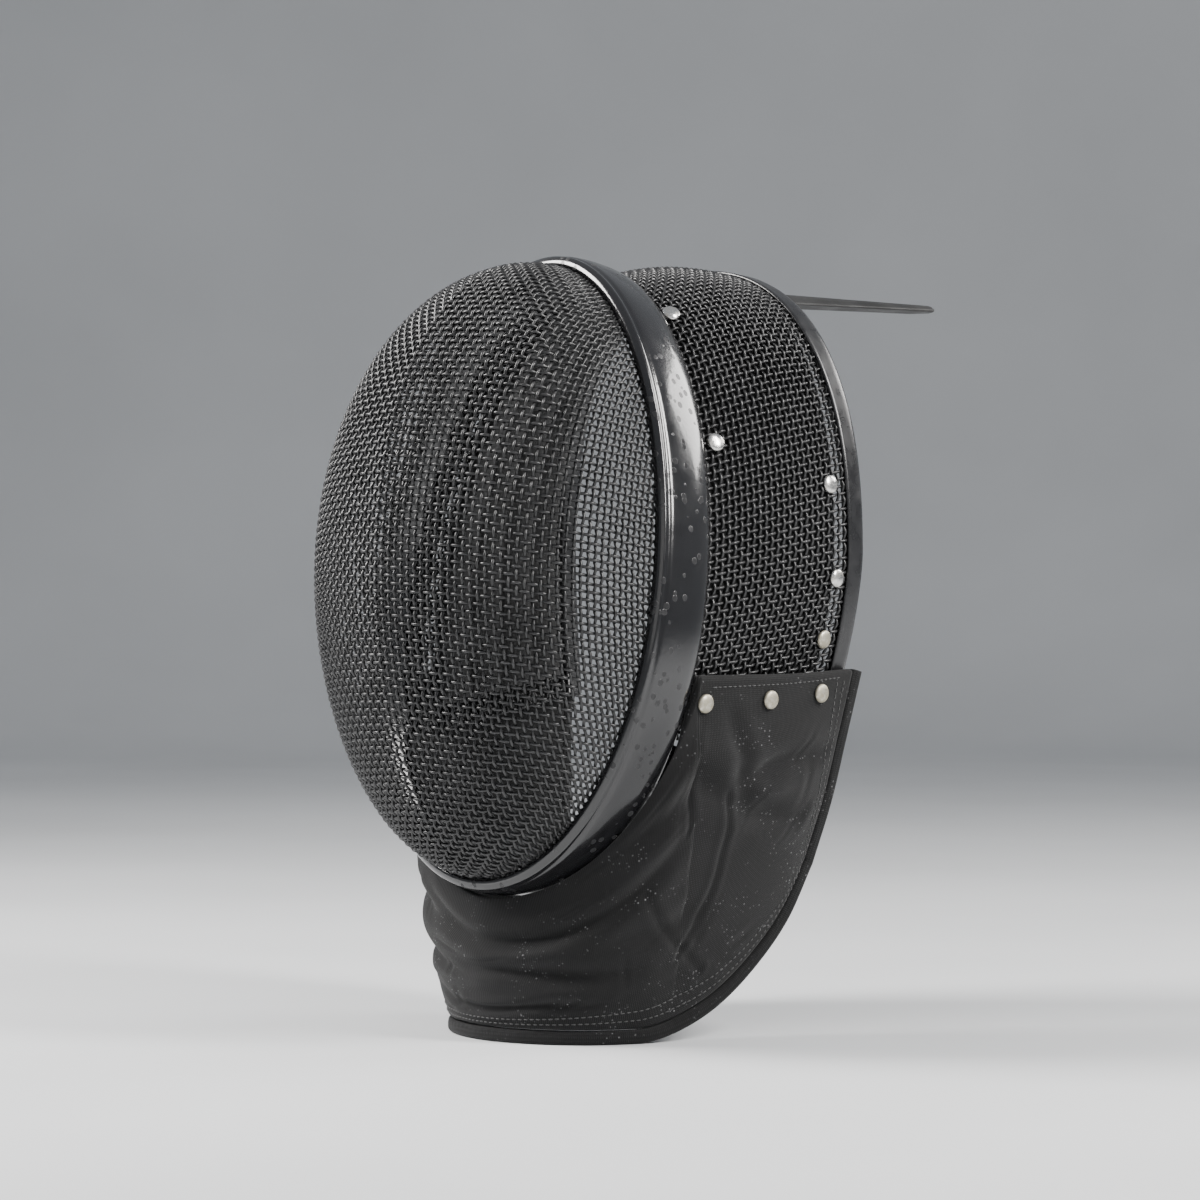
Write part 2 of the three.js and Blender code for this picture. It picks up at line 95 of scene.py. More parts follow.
CROWN_WALL = 1.5 * MM
CROWN_START = 19 * MM
CROWN_TUCKED = 0.125
CROWN_REAR_Y = 145 * MM
CROWN_SWEEP = 7 * MM
CROWN_HALF_WIDTH = 105.5 * MM
CROWN_HALF_HEIGHT = 147.5 * MM
CROWN_CENTRE_Z = 245 * MM
CROWN_ROUNDNESS = 2.35
CROWN_NARROWING = 12 * MM
CROWN_SIDE_BULGE = 2.5 * MM
CROWN_TOP_BULGE = 6.5 * MM
CROWN_REACH = math.radians(121)
CROWN_CLEAR = 1.5 * MM
GAP = 0.3 * MM

TONGUE_ROOT_Y = 122 * MM

TONGUE_TIP_Y = 327 * MM

WIRE_PITCH = 3.9 * MM
WIRE_RADIUS = 0.82 * MM

LIP_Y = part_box("tongue")[1].y - TONGUE_TIP_Y
print("the band's lip lies at y =", round(LIP_Y / MM, 1), "mm")

# %% [markdown]
# ## Helpers for surfaces
#
# Almost every piece is a grid of points.  One helper turns a grid into a mesh and can close it
# round either way, and another draws a smooth curve through a few chosen points.


# %% A mesh from a grid of points
def make_object(name, points, faces, smooth=True):
    """A mesh object from an array of points and a list of faces, sitting at the origin."""
    mesh = bpy.data.meshes.new(name)
    mesh.from_pydata(points.reshape(-1, 3).tolist(), [], faces)
    mesh.polygons.foreach_set("use_smooth", np.full(len(mesh.polygons), smooth))
    mesh.update()
    piece = bpy.data.objects.new(name, mesh)
    bpy.context.scene.collection.objects.link(piece)
    return piece


def grid_faces(rows, columns, wrap_rows=False, wrap_columns=False, first=0):
    """Quads between neighbouring points of a rows by columns grid, numbered row by row."""
    index = first + np.arange(rows * columns).reshape(rows, columns)
    if wrap_rows:
        index = np.vstack([index, index[:1]])
    if wrap_columns:
        index = np.hstack([index, index[:, :1]])
    corners = [index[:-1, :-1], index[1:, :-1], index[1:, 1:], index[:-1, 1:]]
    return np.stack([c.ravel() for c in corners], axis=1)


def outward_volume(points, faces):
    """Six times the signed volume of a closed mesh of quads: positive if its faces point out."""
    p = points.reshape(-1, 3)
    a, b, c, d = (p[faces[:, k]] for k in range(4))
    first = np.einsum("ij,ij->i", a, np.cross(b, c)).sum()
    return first + np.einsum("ij,ij->i", a, np.cross(c, d)).sum()


def tube_surface(name, rings, closed=False):
    """A closed skin over rings of points: joined end to end, or with a flat face on each end."""
    rows, columns = rings.shape[:2]
    faces = grid_faces(rows, columns, wrap_rows=closed, wrap_columns=True)
    flip = outward_volume(rings, faces) < 0
    quads = faces[:, ::-1] if flip else faces
    listed = quads.tolist()
    if not closed:
        start = list(range(columns))
        end = list(range((rows - 1) * columns, rows * columns))
        listed += [start if not flip else start[::-1], end[::-1] if not flip else end]
    return make_object(name, rings, listed)


def spline(points, steps, closed=False):
    """A smooth curve through points: each stretch is the cubic whose slope at a point is half
    the step between that point's two neighbours, sampled evenly along its length."""
    p = np.asarray(points, float)
    if closed:
        padded = np.vstack([p[-1:], p, p[:2]])
    else:
        padded = np.vstack([2 * p[:1] - p[1:2], p, 2 * p[-1:] - p[-2:-1]])
    t = np.linspace(0, 1, 40, endpoint=False)[:, None]
    pieces = []
    for k in range(1, len(padded) - 2):
        a, b, c, d = padded[k - 1 : k + 3]
        cubic = (2 * a - 5 * b + 4 * c - d) * t**2 + (3 * b - a - 3 * c + d) * t**3
        pieces.append(0.5 * (2 * b + (c - a) * t + cubic))
    fine = np.vstack(pieces + [padded[-2:-1]])
    length = np.r_[0, np.linalg.norm(np.diff(fine, axis=0), axis=1).cumsum()]
    wanted = np.linspace(0, length[-1], steps, endpoint=not closed)
    return np.stack([np.interp(wanted, length, fine[:, k]) for k in range(p.shape[1])], axis=1)


def unit(vectors):
    """Vectors of length one along the last axis."""
    return vectors / np.maximum(np.linalg.norm(vectors, axis=-1, keepdims=True), 1e-12)


def smooth_step(low, high, value):
    """0 below low, 1 above high, and a soft S between."""
    t = np.clip((value - low) / (high - low), 0, 1)
    return t * t * (3 - 2 * t)


# %% [markdown]
# ## Camera, floor and light
#
# The camera stands a little above the mask's middle, level, turned 45 degrees to the wearer's
# left side, and a long lens keeps the shape calm.  The floor is a pale round studio sweep: flat
# under the mask, and turned up far away, so that every view has the same plain ground.

# %% The camera
CAMERA_TURN = math.radians(45)
CAMERA_DISTANCE = 1.8
CAMERA_HEIGHT = 221 * MM
CAMERA_ASIDE = 44.4 * MM
FRAME_AT_MASK = 0.606
SENSOR = 36.0

camera_data = bpy.data.cameras.new("camera")
camera_data.sensor_width = SENSOR
camera_data.lens = SENSOR * CAMERA_DISTANCE / FRAME_AT_MASK
camera = bpy.data.objects.new("camera", camera_data)
aim_x = CAMERA_ASIDE * math.cos(CAMERA_TURN)
aim_y = LIP_Y + CAMERA_ASIDE * math.sin(CAMERA_TURN)
camera.location = (
    aim_x + CAMERA_DISTANCE * math.sin(CAMERA_TURN),
    aim_y - CAMERA_DISTANCE * math.cos(CAMERA_TURN),
    CAMERA_HEIGHT,
)
camera.rotation_euler = (math.pi / 2, 0, CAMERA_TURN)
bpy.context.scene.collection.objects.link(camera)
bpy.context.scene.camera = camera
print("lens in mm:", round(camera_data.lens, 1))


# %% The floor sweep
def studio_floor():
    """A profile turned about the upright axis: flat out to the bend, a quarter round, then up."""
    flat_radius, bend, top = 3.2, 1.2, 3.0
    turn = np.linspace(0, math.pi / 2, 14)
    flat = np.stack([np.geomspace(0.05, flat_radius, 16), np.zeros(16)], 1)
    curve = np.stack([flat_radius + bend * np.sin(turn), bend * (1 - np.cos(turn))], 1)
    profile = np.vstack([flat, curve[1:], [[flat_radius + bend, top]]])
    around = np.linspace(0, 2 * math.pi, 96, endpoint=False)
    x = profile[:, 0] * np.cos(around)[:, None]
    y = profile[:, 0] * np.sin(around)[:, None]
    points = np.stack([x, y, np.broadcast_to(profile[:, 1], x.shape)], axis=2)
    faces = grid_faces(*x.shape, wrap_rows=True)
    hub = [k * x.shape[1] for k in range(x.shape[0])]
    return make_object("floor", points, faces.tolist() + [hub[::-1]])


floor = studio_floor()
floor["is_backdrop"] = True


# %% The lights
def softbox(name, place, aim, size, power, warmth=1.0):
    """A square area light at a place, turned to an aim point."""
    light = bpy.data.lights.new(name, "AREA")
    light.shape = "RECTANGLE"
    light.size, light.size_y = size
    light.energy = power
    light.color = (1.0, 0.98 * warmth, 0.96 * warmth)
    lamp = bpy.data.objects.new(name, light)
    lamp.location = place
    back = np.array(place) - np.array(aim)
    level = math.hypot(back[0], back[1])
    lamp.rotation_euler = (math.atan2(level, back[2]), 0, math.atan2(back[0], -back[1]))
    bpy.context.scene.collection.objects.link(lamp)
    return lamp


MIDDLE = (0, LIP_Y, 0.24)
softbox("key", (-0.8, -0.9, 1.15), MIDDLE, (0.5, 0.8), 56)
softbox("side", (1.1, 0.2, 1.05), MIDDLE, (0.3, 0.8), 30)
softbox("back", (0.5, 1.3, 1.0), MIDDLE, (0.7, 0.5), 14)
softbox("fill", (1.7, -1.5, 0.9), MIDDLE, (1.2, 1.2), 4)
world = bpy.data.worlds.new("studio")
world.use_nodes = True
world.node_tree.nodes["Background"].inputs["Color"].default_value = (0.86, 0.9, 0.96, 1)
world.node_tree.nodes["Background"].inputs["Strength"].default_value = 0.42
bpy.context.scene.world = world
print("lights set")

# %% [markdown]
# ## Finishes
#
# Everything on the mask is black, so each finish has to be told from the next by its gloss, its
# grain and its wear.  Every pattern reads Object coordinates, in metres, so that it keeps its
# size on the real piece.


# %% Helpers for finishes
class Finish:
    """A material with a Principled shader, and short ways to wire patterns into it."""

    def __init__(self, name, colour, roughness, **sockets):
        self.material = bpy.data.materials.new(name)
        self.material.use_nodes = True
        self.tree = self.material.node_tree
        self.shader = self.tree.nodes["Principled BSDF"]
        self.set("Base Color", (*colour, 1))
        self.set("Roughness", roughness)
        for socket, value in sockets.items():
            self.set(socket.replace("_", " "), value)
        self.coordinates = self.node("ShaderNodeTexCoord").outputs["Object"]

    def set(self, socket, value):
        self.shader.inputs[socket].default_value = value

    def node(self, kind, **values):
        made = self.tree.nodes.new(kind)
        for key, value in values.items():
            if key in made.inputs:
                made.inputs[key].default_value = value
            else:
                setattr(made, key, value)
        return made

    def link(self, source, target):
        self.tree.links.new(source, target)

    def noise(self, scale, detail=3.0, roughness=0.5, stretch=None):
        """Cloudy noise, with scale in blobs a metre, drawn out along an axis by stretch."""
        made = self.node("ShaderNodeTexNoise")
        made.inputs["Scale"].default_value = scale
        made.inputs["Detail"].default_value = detail
        made.inputs["Roughness"].default_value = roughness
        source = self.coordinates
        if stretch:
            mapping = self.node("ShaderNodeMapping")
            mapping.inputs["Scale"].default_value = stretch
            self.link(source, mapping.inputs["Vector"])
            source = mapping.outputs["Vector"]
        self.link(source, made.inputs["Vector"])
        return made.outputs["Fac"]

    def cells(self, scale, feature="F1", randomness=1.0):
        """Distance to the nearest of scattered points, with scale in points a metre."""
        made = self.node("ShaderNodeTexVoronoi", feature=feature)
        made.inputs["Scale"].default_value = scale
        made.inputs["Randomness"].default_value = randomness
        self.link(self.coordinates, made.inputs["Vector"])
        return made.outputs["Distance"]

    def ramp(self, source, stops):
        """A colour ramp over source, with stops of (place, grey or colour)."""
        made = self.node("ShaderNodeValToRGB")
        elements = made.color_ramp.elements
        for place, _ in stops[2:]:
            elements.new(place)
        for element, (place, colour) in zip(elements, sorted(stops)):
            element.position = place
            shade = colour if isinstance(colour, tuple) else (colour,) * 3
            element.color = (*shade, 1)
        self.link(source, made.inputs["Fac"])
        return made.outputs["Color"]

    def mix(self, share, low, high):
        """low where share is 0 and high where it is 1.  Each is a pattern or a plain value."""
        made = self.node("ShaderNodeMix", data_type="RGBA")
        for value, name in ((share, "Factor"), (low, "A"), (high, "B")):
            if isinstance(value, bpy.types.NodeSocket):
                self.link(value, made.inputs[name])
            else:
                made.inputs[name].default_value = value
        return made.outputs["Result"]

    def sum(self, first, second, weight=1.0):
        """first plus weight times second."""
        made = self.node("ShaderNodeMath", operation="MULTIPLY_ADD")
        self.link(second, made.inputs[0])
        made.inputs[1].default_value = weight
        self.link(first, made.inputs[2])
        return made.outputs[0]

    def product(self, first, second):
        made = self.node("ShaderNodeMath", operation="MULTIPLY")
        self.link(first, made.inputs[0])
        self.link(second, made.inputs[1])
        return made.outputs[0]

    def colour(self, source):
        self.link(source, self.shader.inputs["Base Color"])
        return self

    def roughness(self, source):
        self.link(source, self.shader.inputs["Roughness"])
        return self

    def bump(self, height, distance, strength=1.0):
        """Surface relief, with distance in metres for a height of one."""
        made = self.node("ShaderNodeBump")
        made.inputs["Strength"].default_value = strength
        made.inputs["Distance"].default_value = distance
        self.link(height, made.inputs["Height"])
        self.link(made.outputs["Normal"], self.shader.inputs["Normal"])
        return self


# %% [markdown]
# ### The floor, the wire and the glossy band
#
# Wire is dipped in black paint, whose shade and gloss vary a little from place to place.  The band
# is a smooth moulding: its only marks are small dried drops, which show because they break a
# highlight.


# %% Hard finishes
def pale_floor():
    made = Finish("pale_floor", (0.62, 0.63, 0.64), 0.75)
    cloud = made.noise(1.6, 4.0)
    made.colour(made.ramp(cloud, [(0.35, (0.6, 0.61, 0.62)), (0.65, (0.66, 0.67, 0.68))]))
    return made.bump(made.noise(260.0, 2.0), 0.0002, 0.25).material


def painted_wire():
    made = Finish("painted_wire", (0.018, 0.018, 0.019), 0.36, Specular_IOR_Level=0.6)
    cloud = made.noise(55.0, 5.0, 0.6)
    made.colour(made.ramp(cloud, [(0.35, (0.008, 0.008, 0.0085)), (0.7, (0.024, 0.024, 0.025))]))
    made.roughness(made.ramp(made.noise(180.0, 4.0), [(0.3, 0.26), (0.7, 0.5)]))
    return made.bump(made.noise(1900.0, 2.0), 0.00006, 0.5).material


def glossy_band():
    made = Finish("glossy_band", (0.008, 0.008, 0.009), 0.16, Coat_Weight=0.5, Coat_Roughness=0.06)
    drops = made.ramp(made.cells(170.0), [(0.24, 1.0), (0.3, 0.0)])
    some = made.ramp(made.noise(26.0, 1.0), [(0.44, 0.0), (0.5, 1.0)])
    spots = made.product(drops, some)
    cloud = made.ramp(made.noise(90.0, 4.0), [(0.3, 0.13), (0.75, 0.24)])
    rough = made.ramp(spots, [(0.0, 0.0), (1.0, 0.7)])
    made.roughness(made.sum(cloud, rough))
    return made.bump(made.sum(made.noise(420.0, 2.0), spots, 4.0), 0.00012, 0.45).material


def black_edging():
    made = Finish("black_edging", (0.01, 0.01, 0.011), 0.3, Coat_Weight=0.25, Coat_Roughness=0.2)
    made.roughness(made.ramp(made.noise(120.0, 4.0), [(0.3, 0.2), (0.7, 0.42)]))
    return made.bump(made.noise(900.0, 3.0), 0.00008, 0.4).material


def tongue_cover():
    made = Finish("tongue_cover", (0.014, 0.014, 0.015), 0.5, Specular_IOR_Level=0.3)
    grain = made.cells(1500.0)
    made.colour(made.ramp(made.noise(45.0, 4.0), [(0.35, (0.009,) * 3), (0.7, (0.024,) * 3)]))
    made.roughness(made.ramp(made.noise(70.0, 4.0), [(0.3, 0.45), (0.7, 0.65)]))
    return made.bump(made.sum(grain, made.noise(300.0, 3.0), 0.6), 0.00012, 0.5).material


def rivet_steel(worn):
    """Bright steel where worn is 0, and dull, yellowed and pitted where it is 1."""
    name = "rivet_steel_worn" if worn else "rivet_steel"
    bright, dull = (0.72, 0.71, 0.69), (0.42, 0.39, 0.31)
    made = Finish(name, bright, 0.28, Metallic=1.0)
    patches = made.noise(420.0, 5.0, 0.65)
    start = 0.34 if worn else 0.52
    clean = (0.6, 0.57, 0.49) if worn else bright
    made.colour(made.ramp(patches, [(start, clean), (start + 0.2, dull)]))
    low, high = (0.4, 0.7) if worn else (0.16, 0.42)
    made.roughness(made.ramp(patches, [(0.35, low), (0.7, high)]))
    return made.bump(made.noise(1500.0, 3.0), 0.0001, 0.45).material


# %% [markdown]
# ### Cloth
#
# The bib is close-woven cotton.  A weave is two sets of fine ridges that cross, so two wave
# textures along the cloth's own directions make it.  They read the piece's UV map, which is laid
# out in metres, so the threads follow the folds.  Sheen gives the soft bloom of fibres.  A thin
# scatter of pale specks is dust, and painted glints of fine drops of water.


# %% Soft finishes
def woven_cloth(name, shade, thread, dust_and_glints, sheen=0.35):
    """Cloth with thread metres between threads, and a share from 0 to 1 of pale specks, which are dust
    and painted glints of fine drops.
    """
    made = Finish(
        name, (shade,) * 3, 0.88, Sheen_Weight=sheen, Sheen_Roughness=0.5, Specular_IOR_Level=0.22
    )
    uv = made.node("ShaderNodeUVMap").outputs["UV"]
    ridges = []
    for direction in ("X", "Y"):
        wave = made.node("ShaderNodeTexWave", wave_type="BANDS", bands_direction=direction)
        wave.inputs["Scale"].default_value = 0.314 / thread / 2
        wave.inputs["Distortion"].default_value = 0.6
        wave.inputs["Detail"].default_value = 1.0
        wave.inputs["Detail Scale"].default_value = 2.0
        made.link(uv, wave.inputs["Vector"])
        ridges.append(wave.outputs["Fac"])
    weave = made.product(*ridges)
    cloud = made.noise(26.0, 5.0, 0.6)
    low, high = (shade * 0.55,) * 3, (shade * 1.6, shade * 1.6, shade * 1.7)
    base = made.ramp(cloud, [(0.3, low), (0.72, high)])
    threads = made.ramp(weave, [(0.0, (shade * 0.5,) * 3), (0.8, (shade * 1.5,) * 3)])
    cloth = made.mix(0.5, base, threads)
    # Pale specks in scattered patches: dust, and painted glints of fine drops of water.
    specks = made.ramp(made.cells(430.0), [(0.15, 1.0), (0.23, 0.0)])
    where = made.ramp(made.noise(60.0, 3.0, 0.6), [(0.62 - 0.2 * dust_and_glints, 0.0), (0.8, 1.0)])
    pale_dust_and_glint = (0.24, 0.24, 0.245, 1)
    made.colour(made.mix(made.product(specks, where), cloth, pale_dust_and_glint))
    made.roughness(made.ramp(cloud, [(0.3, 0.8), (0.7, 0.95)]))
    relief = made.sum(weave, made.noise(700.0, 3.0), 0.5)
    return made.bump(relief, 0.00022, 0.7).material


def stitch_thread():
    made = Finish("stitch_thread", (0.02, 0.02, 0.021), 0.6, Sheen_Weight=0.3)
    made.colour(made.ramp(made.noise(300.0, 2.0), [(0.3, (0.014,) * 3), (0.7, (0.04,) * 3)]))
    return made.bump(made.noise(2600.0, 2.0, 0.5, (1, 1, 0.3)), 0.0001, 0.6).material


WIRE = painted_wire()
BAND = glossy_band()
EDGING = black_edging()
COVER = tongue_cover()
BRIGHT_STEEL = rivet_steel(0)
WORN_STEEL = rivet_steel(1)
BIB_CLOTH = woven_cloth("bib_cloth", 0.010, 0.00055, 0.6, 0.08)
BORDER_CLOTH = woven_cloth("border_cloth", 0.009, 0.00055, 0.4, 0.07)
LINING_CLOTH = woven_cloth("lining_cloth", 0.016, 0.0011, 0.1, 0.2)
THREAD = stitch_thread()
floor.data.materials.append(pale_floor())


def finished(piece, material, slot, *nodes):
    """Gives a piece its material and its body, and hides the solids that it stands for.  slot is not
    used.
    """
    piece.data.materials.append(material)
    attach(piece, "root")
    if nodes:
        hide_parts(*nodes)
    return piece


# %% [markdown]
# ## The rim
#
# One formula places everything near the rim: an angle round the oval from its top, a distance
# ahead of the oval's plane, and a distance out of it.


# %% Points on and round the oval
RIM_UP = np.array([0, math.sin(RIM_LEAN), math.cos(RIM_LEAN)])
RIM_AHEAD = np.array([0, -math.cos(RIM_LEAN), math.sin(RIM_LEAN)])
RIM_CENTRE = np.array([0, LIP_Y, RIM_CENTRE_Z])


def rim_place(across, up, ahead):
    """From the rim's own across, up and ahead to a place in the frame."""
    across, up, ahead = np.broadcast_arrays(across, up, ahead)
    sideways = np.stack([across, np.zeros_like(across), np.zeros_like(across)], axis=-1)
    return RIM_CENTRE + sideways + up[..., None] * RIM_UP + ahead[..., None] * RIM_AHEAD


def rim_point(angle, ahead, out):
    """The oval's point at an angle from its top: half width times sine across, half height times
    cosine up, a little wider towards the chin, then pushed along the oval's own normal."""
    sin, cos = np.sin(angle), np.cos(angle)
    width = RIM_HALF_WIDTH * (1 - RIM_WIDENING * cos)
    run_across = width * cos + RIM_HALF_WIDTH * RIM_WIDENING * sin * sin
    run_up = -RIM_HALF_HEIGHT * sin
    length = np.hypot(run_across, run_up)
    across = width * sin - out * run_up / length
    up = RIM_HALF_HEIGHT * cos + out * run_across / length
    return rim_place(across, up, ahead)


# %% [markdown]
# ## Woven wire
#
# The front is real woven wire, pressed over a former.  It could be a shell with a bump map, but
# then its edge would be smooth and nothing would show through.  Instead every wire is a tube.
# Each lies on a lattice of points laid out on the surface by equal steps of length, and swings
# over and under its neighbours as a cosine, the two sets in opposite phase.

# %% The lattice and the tubes
STEPS = 3  # lattice steps from one crossing to the next


def wire_tube(path, normals, sides=5):
    """Rings round a path: each ring's points are the path plus the wire's radius times the
    cosine along the surface normal and the sine along the sideways direction."""
    run = unit(np.gradient(path, axis=0))
    side = unit(np.cross(run, normals))
    up = np.cross(side, run)
    turn = np.linspace(0, 2 * math.pi, sides, endpoint=False) + math.pi / 2
    ring = np.cos(turn)[:, None] * side[:, None] + np.sin(turn)[:, None] * up[:, None]
    return path[:, None] + WIRE_RADIUS * ring


def woven_set(name, paths):
    """One mesh of many wires.  Each path is (points, normals), already swung over and under."""
    points, faces, start = [], [], 0
    for path, normals in paths:
        rings = wire_tube(path, normals)
        rows, sides = rings.shape[:2]
        quads = grid_faces(rows, sides, wrap_columns=True, first=start)
        flip = outward_volume(rings, quads - start) < 0
        faces += (quads[:, ::-1] if flip else quads).tolist()
        near = list(range(start, start + sides))
        far = list(range(start + (rows - 1) * sides, start + rows * sides))
        faces += [near[::-1], far] if flip else [near, far[::-1]]
        points.append(rings.reshape(-1, 3))
        start += rows * sides
    return make_object(name, np.vstack(points), faces)


def weave(surface, normals, present, first_row, first_column):
    """The two sets of wires of a lattice: along its rows and along its columns.  Every third
    lattice line carries a wire.  A wire's swing is the cosine of half a turn for each crossing,
    and the sign changes from one wire to the next."""
    rows, columns = present.shape
    row_phase = (np.arange(rows) - first_row) / STEPS
    column_phase = (np.arange(columns) - first_column) / STEPS
    swing = WIRE_RADIUS * 0.97
    sets = ([], [])
    for r in range((first_row % STEPS), rows, STEPS):
        on = np.flatnonzero(present[r])
        if len(on) > 2 * STEPS:
            sign = 1 - 2 * (round(row_phase[r]) % 2)
            lift = swing * sign * np.cos(math.pi * column_phase[on])
            sets[0].append((surface[r, on] + lift[:, None] * normals[r, on], normals[r, on]))
    for c in range((first_column % STEPS), columns, STEPS):
        on = np.flatnonzero(present[:, c])
        if len(on) > 2 * STEPS:
            sign = 1 - 2 * (round(column_phase[c]) % 2)
            lift = -swing * sign * np.cos(math.pi * row_phase[on])
            sets[1].append((surface[on, c] + lift[:, None] * normals[on, c], normals[on, c]))
    return sets


# %% [markdown]
# ### The front mesh
#
# A level section of the dome is a rounded square whose middle comes to a ridge.  The rows of the
# lattice are level sections, spaced evenly along the ridge, and its columns lie at even distances
# from the ridge, measured along each row.


# %% The dome's formula and its lattice
def face_surface(up, turn, inset=0.0):
    """A point of the dome.  up is -1 at the chin and 1 at the brow.  turn runs from minus to plus
    a right angle across a row: its sine and cosine, each to the power n and summed, give a
    rounded square.  Past a right angle the wall runs straight back under the band."""
    n = FACE_SQUARENESS + FACE_SQUARER * up
    held = np.clip(turn, -math.pi / 2, math.pi / 2)
    sin, cos = np.abs(np.sin(held)), np.abs(np.cos(held))
    reach = (sin**n + cos**n) ** (-1 / n)
    share, rise = sin * reach, cos * reach
    row = np.sqrt(np.maximum(1 - up * up, 0))
    across = np.sign(held) * (RIM_HALF_WIDTH - inset) * (1 - RIM_WIDENING * up) * share * row
    depth = (FACE_DEPTH - inset) * (1 + FACE_FULLER * up) * row
    ahead = depth * (1 - FACE_RIDGE * share) * rise - (np.abs(turn) - np.abs(held))
    return rim_place(across, (RIM_HALF_HEIGHT - inset) * up, ahead)


def surface_normals(surface, a, b, step_a, step_b):
    """Unit normals of a surface function by small steps both ways, pointing away from inside."""
    along_a = surface(a + step_a, b) - surface(a - step_a, b)
    along_b = surface(a, b + step_b) - surface(a, b - step_b)
    normals = unit(np.cross(along_a, along_b))
    here = surface(a, b)
    inside = RIM_CENTRE + np.array([0, 40 * MM, 0])
    away = np.einsum("...i,...i->...", normals, here - inside)
    return normals * np.sign(away)[..., None]


def face_lattice(inset):
    """Lattice points of the dome, with a mask of those that exist."""
    bend = np.linspace(-math.pi / 2, math.pi / 2, 1500)
    ridge = face_surface(np.sin(bend), np.zeros_like(bend), inset)
    along = np.r_[0, np.linalg.norm(np.diff(ridge, axis=0), axis=1).cumsum()]
    middle = along[-1] / 2
    step = WIRE_PITCH / STEPS
    count = int(middle / step)
    levels = np.sin(np.interp(middle + step * np.arange(-count, count + 1), along, bend))
    levels = np.clip(levels, -0.99995, 0.99995)
    tuck = 7 * MM
    turns = np.linspace(0, math.pi / 2, 260)
    rows = face_surface(levels[:, None], turns[None], inset)
    reach = np.linalg.norm(np.diff(rows, axis=1), axis=2).cumsum(axis=1)
    reach = np.hstack([np.zeros((len(levels), 1)), reach])
    half = int((reach.max() + tuck) / step)
    wanted = step * np.arange(half + 1)
    found = np.array([
        np.interp(wanted, np.r_[r, r[-1] + tuck], np.r_[turns, turns[-1] + tuck]) for r in reach
    ])
    present = wanted[None] <= reach[:, -1:] + tuck
    turn = np.hstack([-found[:, :0:-1], found])
    present = np.hstack([present[:, :0:-1], present])
    up = np.broadcast_to(levels[:, None], turn.shape)
    points = face_surface(up, turn, inset)
    formula = lambda a, b: face_surface(np.clip(a, -0.99999, 0.99999), b, inset)
    normals = surface_normals(formula, up, turn, 2e-4, 2e-3)
    return points, normals, present, count, half


face_points, face_normals, face_present, row0, column0 = face_lattice(1.65 * MM)
face_rows, face_columns = weave(face_points, face_normals, face_present, row0, column0)
face_weft = finished(woven_set("face_weft_wires", face_rows), WIRE, "wire", "face_mesh")
face_warp = finished(woven_set("face_warp_wires", face_columns), WIRE, "wire", "face_mesh")
print("front wires:", len(face_rows), "level and", len(face_columns), "upright")

# %% [markdown]
# ### The hood's mesh
#
# The hood runs from the oval to the arch of the back edge.  Its lattice has one set of lines from
# front to back and one set of arches.


# %% The hood's formula and its lattice
def crown_surface(angle, back, inset=0.0):
    """A point of the hood.  angle is measured from its top.  back goes from 0 under the band to 1
    at the back edge: first straight back from the oval, then blended to the arch, with a swell
    that is a half sine."""
    angle, back, inset = np.broadcast_arrays(angle, back, inset)
    clear = -BAND_WIDTH - CROWN_CLEAR
    tucked = -CROWN_START + (clear + CROWN_START) * np.clip(back / CROWN_TUCKED, 0, 1)
    front = rim_point(angle, tucked, -inset - GAP)
    share = np.clip((back - CROWN_TUCKED) / (1 - CROWN_TUCKED), 0, 1.2)[..., None]
    below = np.maximum(-np.cos(angle), 0) / abs(math.cos(CROWN_REACH))
    soften = lambda value: np.sign(value) * np.abs(value) ** (2 / CROWN_ROUNDNESS)
    upper = np.abs(angle) < math.pi / 2
    side = np.where(upper, soften(np.sin(angle)), np.sign(angle))
    height = np.where(upper, soften(np.cos(angle)), np.cos(angle))
    rear = np.stack(
        [
            side * (CROWN_HALF_WIDTH - inset - CROWN_NARROWING * below**1.5),
            LIP_Y + CROWN_REAR_Y - CROWN_SWEEP * below**1.5,
            CROWN_CENTRE_Z + (CROWN_HALF_HEIGHT - inset) * height,
        ],
        axis=-1,
    )
    fullest = CROWN_SIDE_BULGE + (CROWN_TOP_BULGE - CROWN_SIDE_BULGE) * np.maximum(np.cos(angle), 0)
    swell = fullest * np.sin(math.pi * np.clip(share[..., 0], 0, 1)) * (1 - 0.6 * below)
    outward = np.stack([np.sin(angle), np.zeros_like(angle), np.cos(angle)], axis=-1)
    return front + (rear - front) * share + swell[..., None] * outward


def crown_lattice(inset):
    """Lattice points of the hood: rows are arches, columns run from front to back."""
    step = WIRE_PITCH / STEPS
    angles = np.linspace(-CROWN_REACH, CROWN_REACH, 1200)
    arch = crown_surface(angles, 0.6, inset)
    along = np.r_[0, np.linalg.norm(np.diff(arch, axis=0), axis=1).cumsum()]
    half = int(along[-1] / 2 / step)
    angle = np.interp(along[-1] / 2 + step * np.arange(-half, half + 1), along, angles)
    backs = np.linspace(0.04, 0.99, 400)
    line = crown_surface(math.radians(70), backs, inset)
    along = np.r_[0, np.linalg.norm(np.diff(line, axis=0), axis=1).cumsum()]
    back = np.interp(step * np.arange(int(along[-1] / step) + 1), along, backs)
    grid_back, grid_angle = np.meshgrid(back, angle, indexing="ij")
    points = crown_surface(grid_angle, grid_back, inset)
    formula = lambda a, b: crown_surface(b, a, inset)
    normals = surface_normals(formula, grid_back, grid_angle, 0.01, 0.01)
    return points, normals, np.ones(grid_back.shape, bool), 0, half


